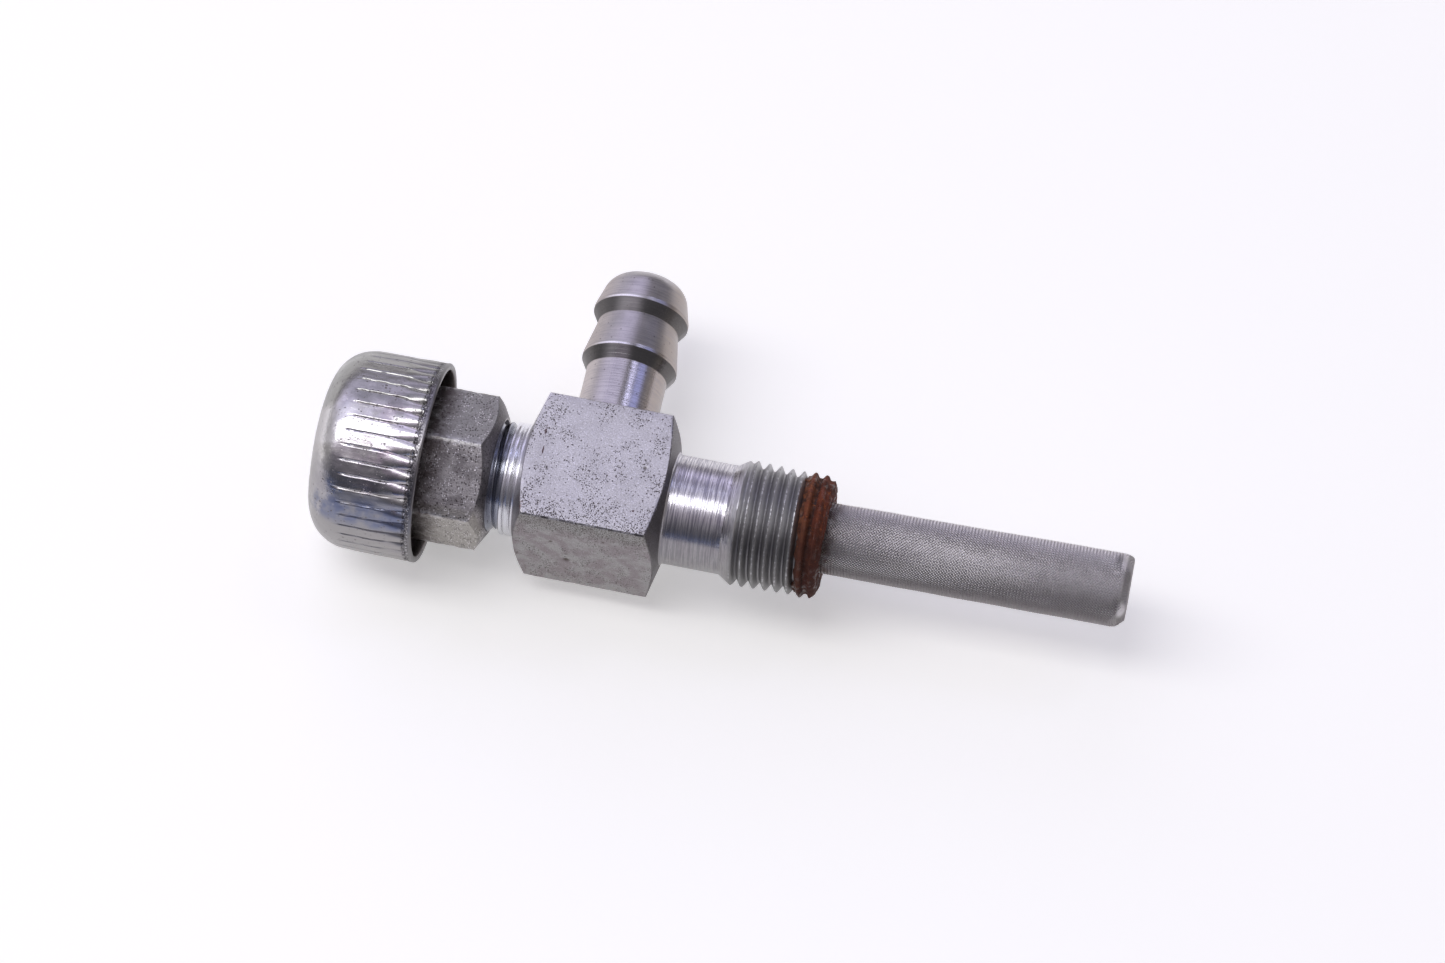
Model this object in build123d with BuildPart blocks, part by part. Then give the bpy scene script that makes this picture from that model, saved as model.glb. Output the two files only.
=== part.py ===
from build123d import *

import os
from math import pi, radians, sqrt, tan

# A needle fuel tap of turned and plated steel. Its main axis is X: the knob is at -X, the taper
# thread and the strainer at +X. The hose barb points along +Y, and two flats of the square face
# up and down. The origin is the centre of the inlet end face. It is drawn closed.

# Square bar with its two turned end faces
square_width = 11.1
square_length = 12.0
square_edge = 0.12
neck_face_angle = 19.0
inlet_face_angle = 15.0

# Inlet spigot and taper pipe thread, drawn as parallel grooves at the thread's pitch
spigot_diameter = 8.86
spigot_length = 4.75
spigot_fillet = 0.3
thread_diameter = 10.24
thread_length = 7.8
thread_runout = 1.1
thread_taper = 1 / 16
thread_pitch = 25.4 / 27
thread_depth = 0.56
thread_flank_angle = 30.0
thread_root_flat = 0.1
thread_lead_in = 0.4
inlet_chamfer = 0.5

# Neck that carries the gland nut
neck_diameter = 9.2
neck_length = 1.15
undercut_diameter = 8.24
undercut_width = 0.5
neck_thread_diameter = 9.0
neck_thread_length = 6.15
neck_end_chamfer = 0.3
thread_clearance = 0.05

# Passages inside the body
passage_diameter = 3.0
seat_angle = 59.0
seat_offset = 2.8
gland_diameter = 6.4
gland_depth = 2.6
strainer_bore_diameter = 6.0
strainer_bore_depth = 5.0

# Hose barb, pressed and brazed into the side of the square
stem_diameter = 6.6
stem_length = 5.25
barb_count = 2
barb_pitch = 4.4
barb_diameter = 7.8
barb_back_length = 1.0
barb_land = 0.3
nose_length = 3.06
nose_angle = 15.0
nose_land = 0.12
port_diameter = 2.7
port_chamfer = 0.15
shank_diameter = 5.2
shank_length = 2.35
shank_clearance = 0.02
shank_end_gap = 0.1

# Gland nut
nut_width = 11.1
nut_gap = 1.05
nut_headroom = 1.2
nut_end_wall = 1.6
nut_chamfer_angle = 30.0
nut_face_diameter = 9.6
nut_turn = 18.0

# Packing
packing_count = 3
packing_thickness = 0.85
packing_clearance = 0.03

# Spindle with its needle point
spindle_diameter = 4.0
spindle_thread_diameter = 4.8
spindle_thread_length = 6.0
spindle_thread_chamfer = 0.3
spindle_pitch = 0.8
opening_turns = 2
opening_end_gap = 0.15
running_clearance = 0.05
needle_diameter = 3.8
needle_angle = 20.0
needle_tip_diameter = 1.2
seat_clearance = 0.05

# Knob: a pressed cap over a turned hub
knob_rim_diameter = 16.22
knob_length = 9.15
knob_draft = 0.77
knob_corner = 3.3
knob_crown = 0.27
knob_wall = 0.5
knob_rim_radius = 0.15
hub_gap = 0.6
hub_thickness = 1.8
hub_edge_chamfer = 0.25
boss_diameter = 6.4
boss_end_gap = 0.1
hub_bore_diameter = 3.4
hub_clearance = 0.02
peen_recess = 0.2

# Knurl of the cap: each groove is a fine line that opens into a wedge towards the rim
knurl_count = 42
knurl_margin = 0.55
wedge_length = 2.4
wedge_depth = 0.22
wedge_half_width = 0.27
line_length = 3.1
line_depth = 0.07
line_half_width = 0.06
knurl_turn = -1.1

# Strainer: a woven tube with a folded end, held in the inlet by an expanded ring. The fine weave
# is drawn as a coarse grid of openings.
mesh_diameter = 5.74
mesh_end_diameter = 6.0
mesh_wall = 0.25
mesh_insert = 4.5
mesh_reach = 24.2
mesh_lean = 0.8
fold_thickness = 1.2
fold_radius = 0.3
tuck_count = 3
tuck_turn = 56.0
tuck_length = 1.05
tuck_depth = 1.15
openings_around = 12
openings_along = 10
opening_strand = 0.6
opening_margin = 0.9
ring_wall = 0.35
ring_length = 4.0
ring_clearance = 0.02

# Places along X, from the inlet end to the knob
inlet_root_x = -(thread_length + spigot_length)
neck_root_x = inlet_root_x - square_length
port_x = (inlet_root_x + neck_root_x) / 2
neck_shoulder_x = neck_root_x - neck_length
neck_thread_x = neck_shoulder_x - undercut_width
neck_end_x = neck_thread_x - neck_thread_length
gland_floor_x = neck_end_x + gland_depth
nut_face_x = neck_shoulder_x - nut_gap
nut_wall_x = neck_end_x - nut_headroom
nut_end_x = nut_wall_x - nut_end_wall
hub_face_x = nut_end_x - hub_gap
hub_back_x = hub_face_x - hub_thickness
knob_end_x = hub_back_x - knob_corner - knob_crown
knob_rim_x = knob_end_x + knob_length
boss_end_x = knob_end_x + knob_wall + knob_crown + boss_end_gap
seat_x = port_x + seat_offset

# Radii that several pieces share
half_width = square_width / 2
bore_radius = spindle_thread_diameter / 2 + running_clearance
passage_radius = passage_diameter / 2
spindle_radius = spindle_diameter / 2
travel = spindle_pitch * opening_turns


def revolved(points, axis=Axis.X, plane=Plane.XZ, mode=Mode.ADD):
    """Turn a closed outline of (place, radius) points about an axis in the given plane."""
    with BuildSketch(plane) as outline:
        with BuildLine():
            Polyline(*points, close=True)
        make_face()
    revolve(outline.sketch, axis=axis, mode=mode)


def crest_radius(x):
    """Radius over the crests of the inlet's taper thread."""
    return (thread_diameter - (x + thread_length) * thread_taper) / 2


def skirt_radius(x):
    """Outer radius of the knob's skirt, which narrows from its rim."""
    return knob_rim_diameter / 2 - (knob_rim_x - x) * tan(radians(knob_draft))


def inlet_thread_outline():
    """Points over the crests and down the grooves of the taper thread, from run-out to end face."""
    half_root = thread_root_flat / 2
    half_mouth = half_root + thread_depth * tan(radians(thread_flank_angle))
    start_x = -thread_length + thread_runout
    room = -inlet_chamfer - half_mouth - start_x - thread_lead_in
    outline = [(start_x, crest_radius(start_x))]
    for index in range(int(room / thread_pitch + 0.5)):
        groove_x = start_x + thread_lead_in + (index + 0.5) * thread_pitch
        root_radius = crest_radius(groove_x) - thread_depth
        outline += [
            (groove_x - half_mouth, crest_radius(groove_x - half_mouth)),
            (groove_x - half_root, root_radius),
            (groove_x + half_root, root_radius),
            (groove_x + half_mouth, crest_radius(groove_x + half_mouth)),
        ]
    end_radius = crest_radius(-inlet_chamfer)
    outline += [(-inlet_chamfer, end_radius), (0, end_radius - inlet_chamfer)]
    return outline


def make_body():
    """The square body, its neck, its inlet thread and all its bores."""
    corner = half_width * sqrt(2) + 1
    neck_radius = neck_diameter / 2
    spigot_radius = spigot_diameter / 2
    neck_rise = (corner - neck_radius) * tan(radians(neck_face_angle))
    inlet_rise = (corner - spigot_radius) * tan(radians(inlet_face_angle))
    neck_thread_radius = neck_thread_diameter / 2
    seat_length = (bore_radius - passage_radius) / tan(radians(seat_angle))

    with BuildPart() as body:
        with BuildSketch(Plane.YZ.offset(neck_root_x)):
            Rectangle(square_width, square_width)
        extrude(amount=square_length)
        chamfer(body.edges().filter_by(Axis.X), length=square_edge)
        revolved(
            [
                (neck_root_x, 0),
                (neck_root_x, neck_radius),
                (neck_root_x + neck_rise, corner),
                (inlet_root_x - inlet_rise, corner),
                (inlet_root_x, spigot_radius),
                (inlet_root_x, 0),
            ],
            mode=Mode.INTERSECT,
        )
        revolved(
            [
                (port_x, 0),
                (port_x, spigot_radius),
                (-thread_length, spigot_radius),
                *inlet_thread_outline(),
                (0, 0),
            ]
        )
        circles = body.edges().filter_by(GeomType.CIRCLE)
        root = circles.filter_by_position(Axis.X, inlet_root_x - spigot_fillet, inlet_root_x + spigot_fillet)
        fillet(root, radius=spigot_fillet)
        revolved(
            [
                (port_x, 0),
                (port_x, neck_radius),
                (neck_shoulder_x, neck_radius),
                (neck_shoulder_x, undercut_diameter / 2),
                (neck_thread_x, undercut_diameter / 2),
                (neck_thread_x, neck_thread_radius),
                (neck_end_x + neck_end_chamfer, neck_thread_radius),
                (neck_end_x, neck_thread_radius - neck_end_chamfer),
                (neck_end_x, 0),
            ]
        )
        revolved(
            [
                (neck_end_x, 0),
                (neck_end_x, gland_diameter / 2),
                (gland_floor_x, gland_diameter / 2),
                (gland_floor_x, bore_radius),
                (seat_x - seat_length, bore_radius),
                (seat_x, passage_radius),
                (-strainer_bore_depth, passage_radius),
                (-strainer_bore_depth, strainer_bore_diameter / 2),
                (0, strainer_bore_diameter / 2),
                (0, 0),
            ],
            mode=Mode.SUBTRACT,
        )
        with Locations(Plane(origin=(port_x, half_width, 0), x_dir=(1, 0, 0), z_dir=(0, 1, 0))):
            CounterBoreHole(
                radius=port_diameter / 2,
                counter_bore_radius=shank_diameter / 2 + shank_clearance,
                counter_bore_depth=shank_length + shank_end_gap,
                depth=half_width,
            )
    return body


def make_hose_barb():
    """The hose barb: a shank, a stem, two shoulders and a rounded nose round one bore."""
    stem_radius = stem_diameter / 2
    shoulder_radius = barb_diameter / 2
    barb_axis = Axis((port_x, 0, 0), (0, 1, 0))
    first_barb_y = half_width + stem_length

    outline = [
        (half_width - shank_length, shank_diameter / 2),
        (half_width, shank_diameter / 2),
        (half_width, stem_radius),
    ]
    for index in range(barb_count):
        barb_y = first_barb_y + index * barb_pitch
        outline += [
            (barb_y, stem_radius),
            (barb_y + barb_back_length, shoulder_radius),
            (barb_y + barb_back_length + barb_land, shoulder_radius),
        ]
    nose_y = outline[-1][0] + nose_length
    nose_corner = shoulder_radius - nose_length * tan(radians(nose_angle))
    nose_round = nose_corner - port_diameter / 2 - port_chamfer - nose_land
    nose_radius = nose_round / tan(radians((90 - nose_angle) / 2))
    outline += [(nose_y, nose_corner), (nose_y, 0), (half_width - shank_length, 0)]

    with BuildPart() as hose_barb:
        revolved([(port_x + r, y) for y, r in outline], axis=barb_axis, plane=Plane.XY)
        fillet(hose_barb.edges().group_by(Axis.Y)[-1], radius=nose_radius)
        with Locations(Plane(origin=(port_x, nose_y, 0), x_dir=(1, 0, 0), z_dir=(0, 1, 0))):
            Hole(radius=port_diameter / 2)
        mouth = hose_barb.faces().sort_by(Axis.Y)[-1].edges().sort_by(SortBy.RADIUS)[0]
        chamfer(mouth, length=port_chamfer)
    return hose_barb


def make_gland_nut():
    """The hexagon nut that closes the gland and squeezes the packing."""
    corner = nut_width / sqrt(3) + 1
    face_radius = nut_face_diameter / 2
    rise = (corner - face_radius) * tan(radians(nut_chamfer_angle))
    thread_radius = neck_thread_diameter / 2 + thread_clearance

    with BuildPart() as gland_nut:
        with BuildSketch(Plane.YZ.offset(nut_end_x)):
            RegularPolygon(nut_width / 2, 6, major_radius=False, rotation=nut_turn)
        extrude(amount=nut_face_x - nut_end_x)
        revolved(
            [
                (nut_end_x, 0),
                (nut_end_x, face_radius),
                (nut_end_x + rise, corner),
                (nut_face_x - rise, corner),
                (nut_face_x, face_radius),
                (nut_face_x, 0),
            ],
            mode=Mode.INTERSECT,
        )
        revolved(
            [
                (nut_end_x, 0),
                (nut_end_x, spindle_radius + running_clearance),
                (nut_wall_x, spindle_radius + running_clearance),
                (nut_wall_x, thread_radius),
                (nut_face_x, thread_radius),
                (nut_face_x, 0),
            ],
            mode=Mode.SUBTRACT,
        )
    return gland_nut


def make_ring(start_x, end_x, outer_radius, inner_radius):
    """A plain flat ring round the main axis, from one place along X to another."""
    with BuildPart() as ring:
        with BuildSketch(Plane.YZ.offset(start_x)):
            Circle(outer_radius)
            Circle(inner_radius, mode=Mode.SUBTRACT)
        extrude(amount=end_x - start_x)
    return ring


def make_packing():
    """The packing rings in the gland, and the washer between them and the nut."""
    outer_radius = gland_diameter / 2 - packing_clearance
    inner_radius = spindle_radius + packing_clearance
    pieces = {}
    for index in range(packing_count):
        end_x = gland_floor_x - index * packing_thickness
        ring = make_ring(end_x - packing_thickness, end_x, outer_radius, inner_radius)
        pieces[f"packing_ring_{index + 1}"] = ring
    stack_x = gland_floor_x - packing_count * packing_thickness
    pieces["packing_washer"] = make_ring(nut_wall_x, stack_x, outer_radius, inner_radius)
    return pieces


def make_spindle():
    """The spindle: end for the hub, stem, thread and needle, turned from one bar."""
    thread_radius = spindle_thread_diameter / 2
    end_radius = hub_bore_diameter / 2
    needle_radius = needle_diameter / 2
    tip_radius = needle_tip_diameter / 2
    slope = tan(radians(needle_angle))
    thread_start_x = gland_floor_x + travel + opening_end_gap
    thread_end_x = thread_start_x + spindle_thread_length
    point_x = seat_x - (needle_radius - passage_radius + seat_clearance) / slope
    tip_x = point_x + (needle_radius - tip_radius) / slope

    with BuildPart() as spindle:
        revolved(
            [
                (boss_end_x + peen_recess, 0),
                (boss_end_x + peen_recess, end_radius),
                (hub_face_x, end_radius),
                (hub_face_x, spindle_radius),
                (thread_start_x, spindle_radius),
                (thread_start_x + spindle_thread_chamfer, thread_radius),
                (thread_end_x - spindle_thread_chamfer, thread_radius),
                (thread_end_x, thread_radius - spindle_thread_chamfer),
                (thread_end_x, needle_radius),
                (point_x, needle_radius),
                (tip_x, tip_radius),
                (tip_x, 0),
            ]
        )
    return spindle


def make_knob_hub():
    """The hub inside the cap: a disc that fills the skirt, and a boss that holds the spindle."""
    inner_radius = skirt_radius(hub_back_x) - knob_wall - hub_clearance
    bore = hub_bore_diameter / 2 + hub_clearance

    with BuildPart() as knob_hub:
        revolved(
            [
                (boss_end_x, bore),
                (boss_end_x, boss_diameter / 2),
                (hub_back_x, boss_diameter / 2),
                (hub_back_x, inner_radius - hub_edge_chamfer),
                (hub_back_x + hub_edge_chamfer, inner_radius),
                (hub_face_x, inner_radius),
                (hub_face_x, bore),
            ]
        )
    return knob_hub


def wedge_section(x, depth, half_width):
    """One triangle across a groove: its point is down in the skirt, its base clear outside."""
    radius = skirt_radius(x)
    rise = depth + half_width
    spread = half_width * rise / depth
    with BuildSketch(Plane.YZ.offset(x)) as section:
        with BuildLine():
            Polyline(
                (0, radius - depth),
                (spread, radius - depth + rise),
                (-spread, radius - depth + rise),
                close=True,
            )
        make_face()
    return section.sketch


def cap_outline(inset):
    """Half section of the domed cap, drawn its wall's distance inside the outer surface."""
    end_x = knob_end_x + inset
    end_radius = skirt_radius(knob_end_x) - inset
    with BuildSketch(Plane.XZ) as outline:
        with BuildLine():
            Polyline(
                (end_x, 0),
                (knob_rim_x, 0),
                (knob_rim_x, knob_rim_diameter / 2 - inset),
                (end_x + knob_crown, end_radius),
            )
            RadiusArc(
                (end_x + knob_crown, end_radius),
                (end_x, 0),
                radius=-(end_radius**2 + knob_crown**2) / (2 * knob_crown),
            )
        make_face()
        corner = outline.vertices().group_by(Axis.X)[1]
        fillet(corner, radius=knob_corner - inset)
    return outline.sketch


def make_knurl():
    """All the grooves of the knurl: each is a fine line that opens into a wedge."""
    wedge_end_x = knob_rim_x - knurl_margin
    wedge_start_x = wedge_end_x - wedge_length
    line_start_x = wedge_start_x - line_length

    with BuildPart() as groove:
        line_start = wedge_section(line_start_x, line_depth, line_half_width)
        line_end = wedge_section(wedge_start_x, line_depth, line_half_width)
        wedge_end = wedge_section(wedge_end_x, wedge_depth, wedge_half_width)
        loft([line_start, line_end], ruled=True)
        loft([line_end, wedge_end], ruled=True)
    with BuildPart() as knurl:
        for index in range(knurl_count):
            add(groove.part, rotation=(knurl_turn + 360 / knurl_count * index, 0, 0))
    return knurl


def make_knob_cap():
    """The pressed cap: a domed cup with a knurl rolled into its skirt."""
    knurl = make_knurl()
    with BuildPart() as knob_cap:
        revolve(cap_outline(0), axis=Axis.X)
        revolve(cap_outline(knob_wall), axis=Axis.X, mode=Mode.SUBTRACT)
        rim = knob_cap.faces().sort_by(Axis.X)[-1]
        fillet(rim.edges(), radius=knob_rim_radius)
        add(knurl.part, mode=Mode.SUBTRACT)
    return knob_cap


def make_strainer():
    """The strainer: a woven tube that flares a little and leans, with its end folded shut."""
    lean_plane = Plane(origin=(-mesh_insert, 0, 0), z_dir=(0, 0, 1)).rotated((0, 0, mesh_lean))
    lean_axis = Axis(lean_plane.origin, lean_plane.x_dir)
    length = mesh_insert + mesh_reach
    root_radius = mesh_diameter / 2
    end_radius = mesh_end_diameter / 2
    ring_radius = root_radius - mesh_wall - ring_clearance

    with BuildPart() as tuck:
        with BuildSketch(Plane.XZ):
            with BuildLine():
                Polyline(
                    (length - tuck_length, end_radius),
                    (length, end_radius - tuck_depth),
                    (length + tuck_length, end_radius - 2 * tuck_depth),
                    (length + tuck_length, end_radius + tuck_depth),
                    (length - 2 * tuck_length, end_radius + tuck_depth),
                    close=True,
                )
            make_face()
        extrude(amount=mesh_end_diameter, both=True)

    grid_start = mesh_insert + opening_margin
    grid_end = length - tuck_length - opening_margin
    row_pitch = (grid_end - grid_start + opening_strand) / openings_along
    opening_length = row_pitch - opening_strand
    opening_width = 2 * pi * (root_radius - mesh_wall) / openings_around - opening_strand
    first_row = Plane.YZ.offset(grid_start + opening_length / 2)
    rows = [first_row.offset(index * row_pitch) for index in range(openings_along)]

    with BuildPart() as strainer_mesh:
        with BuildSketch(Plane.XY):
            with BuildLine():
                Polyline(
                    (0, root_radius - mesh_wall),
                    (0, root_radius),
                    (length, end_radius),
                    (length, 0),
                    (length - fold_thickness, 0),
                    (length - fold_thickness, end_radius - mesh_wall),
                    close=True,
                )
            make_face()
        revolve(axis=Axis.X)
        outer_end = strainer_mesh.edges().filter_by(GeomType.CIRCLE).sort_by(Axis.X)[-1]
        fillet(outer_end, radius=fold_radius)
        for index in range(tuck_count):
            turn = tuck_turn - 90 + 360 / tuck_count * index
            add(tuck.part, rotation=(turn, 0, 0), mode=Mode.SUBTRACT)
        with Locations(*rows):
            with PolarLocations(root_radius, openings_around):
                Box(end_radius, opening_width, opening_length, mode=Mode.SUBTRACT)

    with BuildPart() as strainer_ring:
        with BuildSketch(lean_plane):
            with BuildLine():
                Polyline(
                    (0, ring_radius - ring_wall),
                    (0, ring_radius),
                    (ring_length, ring_radius),
                    (ring_length, ring_radius - ring_wall),
                    close=True,
                )
            make_face()
        revolve(axis=lean_axis)

    with BuildPart() as leaning_mesh:
        add(lean_plane.from_local_coords(strainer_mesh.part))
    return {"strainer_mesh": leaning_mesh, "strainer_ring": strainer_ring}


def main():
    pieces = {
        "body": make_body(),
        "hose_barb": make_hose_barb(),
        "gland_nut": make_gland_nut(),
        "spindle": make_spindle(),
        "knob_hub": make_knob_hub(),
        "knob_cap": make_knob_cap(),
    }
    pieces.update(make_packing())
    pieces.update(make_strainer())
    os.makedirs("parts", exist_ok=True)
    for name, piece in pieces.items():
        piece.part.label = name
        export_step(piece.part, f"parts/{name}.step")


main()
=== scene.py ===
import math
from functools import partialmethod

import bmesh
import bpy
import numpy as np
from mathutils import Matrix, Vector, noise


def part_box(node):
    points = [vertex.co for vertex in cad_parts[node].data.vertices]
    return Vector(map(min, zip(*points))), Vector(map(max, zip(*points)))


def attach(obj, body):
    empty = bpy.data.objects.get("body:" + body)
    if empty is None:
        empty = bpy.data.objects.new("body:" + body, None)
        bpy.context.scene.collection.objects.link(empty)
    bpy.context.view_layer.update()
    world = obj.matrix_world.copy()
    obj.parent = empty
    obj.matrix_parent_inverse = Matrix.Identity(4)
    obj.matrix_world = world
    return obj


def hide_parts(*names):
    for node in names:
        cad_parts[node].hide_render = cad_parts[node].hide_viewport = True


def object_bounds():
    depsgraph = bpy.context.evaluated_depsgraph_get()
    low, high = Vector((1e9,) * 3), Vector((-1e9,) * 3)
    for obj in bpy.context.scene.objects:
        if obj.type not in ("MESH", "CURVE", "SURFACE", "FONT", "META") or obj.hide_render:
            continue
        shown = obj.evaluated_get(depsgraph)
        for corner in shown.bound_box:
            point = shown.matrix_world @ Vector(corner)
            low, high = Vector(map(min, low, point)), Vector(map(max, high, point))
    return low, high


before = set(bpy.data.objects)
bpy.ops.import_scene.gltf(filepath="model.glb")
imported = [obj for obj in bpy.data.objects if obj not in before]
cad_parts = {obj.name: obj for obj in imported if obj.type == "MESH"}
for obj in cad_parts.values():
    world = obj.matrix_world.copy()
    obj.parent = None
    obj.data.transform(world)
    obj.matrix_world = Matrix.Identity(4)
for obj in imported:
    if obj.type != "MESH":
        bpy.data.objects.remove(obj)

# A fuel tap as photographed on a white ground: dull plated steel, a bright knurled knob cap, rust and
# old sealant on the last threads, and a strainer of woven wire. Lengths are in millimetres, in the
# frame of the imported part: X along the main axis, Y along the hose barb, Z up.

MM = 0.001
cad_low, cad_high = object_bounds()


def span(node):
    """Lowest and highest corner of a CAD node, in millimetres."""
    low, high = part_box(node)
    return low / MM, high / MM


body_low, body_high = span("body")
barb_low, barb_high = span("hose_barb")
nut_low, nut_high = span("gland_nut")
cap_low, cap_high = span("knob_cap")

# Camera of the photograph
PHOTO_WIDTH = 1445
FOCAL_PIXELS = 6000
SENSOR_WIDTH = 36
CAMERA_AZIMUTH = 12.07
CAMERA_ELEVATION = 63.20
CAMERA_DISTANCE = 479.6
CAMERA_RIGHT = 10.01
CAMERA_UP = 1.06
CAMERA_CLIP = (0.01, 20)

# Square block of the body and what grows out of it
PORT_X = (barb_low.x + barb_high.x) / 2
HALF_SQUARE = body_high.y
SQUARE_EDGE = 0.12
CORNER_RADIUS = (2 * HALF_SQUARE - SQUARE_EDGE) / math.sqrt(2)
BLOCK_RIGHT_X = -12.55
BLOCK_LEFT_X = -24.55
NECK_FACE_ANGLE = 19.0
INLET_FACE_ANGLE = 15.0
FACE_EDGE = 0.05
EDGE_WEAR = 0.04
WAVE_DEPTH = 0.012
NECK_RADIUS = 4.6
# Tool marks round the neck: place along X and depth
NECK_GROOVES = ((-25.32, 0.10), (-24.98, 0.06), (-24.72, 0.07))
NECK_GROOVE_WIDTH = 0.08
SPIGOT_RADIUS = 4.43
SPIGOT_FILLET = 0.3
UNDERCUT_RADIUS = 4.12
SHOULDER_X = -25.7
NECK_THREAD_X = -26.05
NECK_THREAD_RADIUS = 4.5
NECK_CREST_X = NECK_THREAD_X - 0.17
NECK_PITCH = 1.0
NECK_CHAMFER = 0.3
NECK_END_X = body_low.x
GLAND_RADIUS = 3.2
GLAND_FLOOR_X = -29.75
BORE_RADIUS = 2.45
SEAT_START_X = -16.32
SEAT_X = -15.75
PASSAGE_RADIUS = 1.5
PORT_RADIUS = 1.35
SHANK_RADIUS = 2.62
SHANK_DEPTH = 2.45

# Gland nut, turned as it stands in the photograph
NUT_WIDTH = 11.1
NUT_TURN = 36.0
NUT_CHAMFER_ANGLE = 30.0
NUT_FACE_RADIUS = 4.8
NUT_EDGE = 0.05
NUT_EDGE_WEAR = 0.05
NUT_WORN_RADIUS = (6.15, 6.28)
NUT_THREAD_RADIUS = 4.55
NUT_END_WALL = 1.6
NUT_HOLE_RADIUS = 2.05

# Dents of the square: place, reach and depth
DENTS = (
    ((-19.89, -5.55, -1.34), 0.42, 0.16),
    ((-21.08, -5.55, 1.49), 0.24, 0.06),
    ((-14.67, 0.40, 5.55), 0.25, 0.05),
    ((-16.8, -5.55, 3.1), 0.2, 0.04),
)
# Places on its top where the plate is broken, and a stain: place and reach along each axis
BROKEN_PLATE = (
    ((-23.07, 2.06, 5.55), (0.09, 0.62, 0.3)),
    ((-22.91, 0.27, 5.55), (0.08, 0.5, 0.3)),
    ((-14.77, -3.51, 5.55), (0.12, 0.12, 0.3)),
)
STAIN = ((-23.62, -4.9, 5.4), (0.3, 0.9, 0.5))

# Taper pipe thread of the inlet
THREAD_PITCH = 0.941
THREAD_START_X = -7.8
THREAD_CREST_X = -6.30
THREAD_CREST_ANGLE = 26.3
THREAD_RADIUS = 5.12
THREAD_TAPER = 1 / 32
THREAD_DEPTH = 0.56
THREAD_RUNOUT = 1.1
THREAD_FADE = (-7.25, -6.15)
THREAD_CHAMFER = 0.5
THREAD_NICK = 0.03
CREST_SHARE = 0.04
ROOT_SHARE = 0.06
STRAINER_BORE_RADIUS = 3.0
STRAINER_BORE_X = -5.0

# Coat of rust and sealant
RUST_X = -1.92
RUST_SWING = 0.235
RUST_EDGE_LUMP = 0.2
RUST_THICKNESS = 0.07
RUST_DIP = 0.36
RUST_LAP = 0.05
RUST_BULGE = 0.16
RUST_ROWS = 56
RUST_FACE_ROWS = 20
RUST_INNER_RADIUS = 2.93
RUST_BURIED_RADIUS = 3.6
RUST_BURIED_X = -1.2

# Strainer of woven wire
MESH_ROOT_X = -4.5
MESH_LEAN = 0.8
MESH_ROOT_RADIUS = 2.87
MESH_END_RADIUS = 3.0
MESH_LENGTH = 29.1
MESH_START = 3.0
MESH_CORNER = 0.25
WIRE_COUNT = 70
WIRE_RADIUS = 0.05
WIRE_SIDES = 4
WIRE_WEAVE = 0.9
WIRE_SAG = 0.03
FOLDED_LENGTH = 2.6
# Folds of its closed end: angle round the tube, length along it and depth in from its wall
TUCKS = (
    (50, 0.95, 0.95),
    (108, 0.65, 1.00),
    (186, 1.25, 0.95),
    (245, 0.90, 0.90),
    (310, 0.90, 0.90),
)
# Painted highlights where turned-over bits of cloth at its folds catch the light: place and reach along each
# axis
LIT_EARS = (
    ((24.30, -2.25, 1.30), (0.50, 1.05, 2.00)),
    ((23.85, 1.35, 2.70), (0.26, 1.10, 0.80)),
    ((23.42, 0.45, 2.95), (0.45, 0.22, 0.60)),
)
# Places between its folds that lie in shade: place and reach along each axis
FOLD_HOLLOWS = (
    ((23.45, 1.7, 2.4), (0.5, 2.0, 1.8)),
    ((23.80, -1.9, 2.2), (0.45, 0.9, 1.4)),
)

# Hose barb: where the lands of its shoulders start, and the reach of the cones behind them
BARB_LANDS = (11.8, 16.2)
BARB_CONE = 1.0

# Knob cap with its rolled knurl
CAP_END_X = cap_low.x
CAP_RIM_X = cap_high.x
CAP_RIM_RADIUS = cap_high.z
CAP_DRAFT = 0.77
CAP_CORNER = 3.3
CAP_CROWN = 0.27
CAP_WALL = 0.5
CAP_RIM_EDGE = 0.15
KNURL_COUNT = 42
KNURL_TURN = -1.1
KNURL_MARGIN = 0.6
FLUTE_LENGTH = 2.5
FLUTE_END_X = CAP_RIM_X - KNURL_MARGIN
FLUTE_START_X = FLUTE_END_X - FLUTE_LENGTH
FLUTE_CLOSING = 0.25
FLUTE_DEPTH = 0.28
LINE_LENGTH = 3.1
LINE_DEPTH = 0.08
LINE_HALF_WIDTH = 0.085
LINE_LIP_AT = 0.16
LINE_LIP_WIDTH = 0.07

# Fineness of the meshes, and the angle in degrees from which an edge is shown sharp
COLUMNS = 288
SHARP_ANGLE = 35


def add_object(name, data):
    """An object in the scene, of the given mesh, light or camera."""
    made = bpy.data.objects.new(name, data)
    bpy.context.scene.collection.objects.link(made)
    return made


def new_mesh(name, points, faces, sharp_angle=SHARP_ANGLE):
    """A mesh object from points in millimetres, with merged seams and smooth shading."""
    mesh = bpy.data.meshes.new(name)
    mesh.from_pydata(np.asarray(points) * MM, [], faces)
    work = bmesh.new()
    work.from_mesh(mesh)
    bmesh.ops.remove_doubles(work, verts=work.verts, dist=0.002 * MM)
    bmesh.ops.dissolve_degenerate(work, edges=work.edges, dist=0.001 * MM)
    bmesh.ops.recalc_face_normals(work, faces=work.faces)
    work.to_mesh(mesh)
    work.free()
    mesh.shade_smooth()
    mesh.set_sharp_from_angle(angle=math.radians(sharp_angle))
    return add_object(name, mesh)


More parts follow.
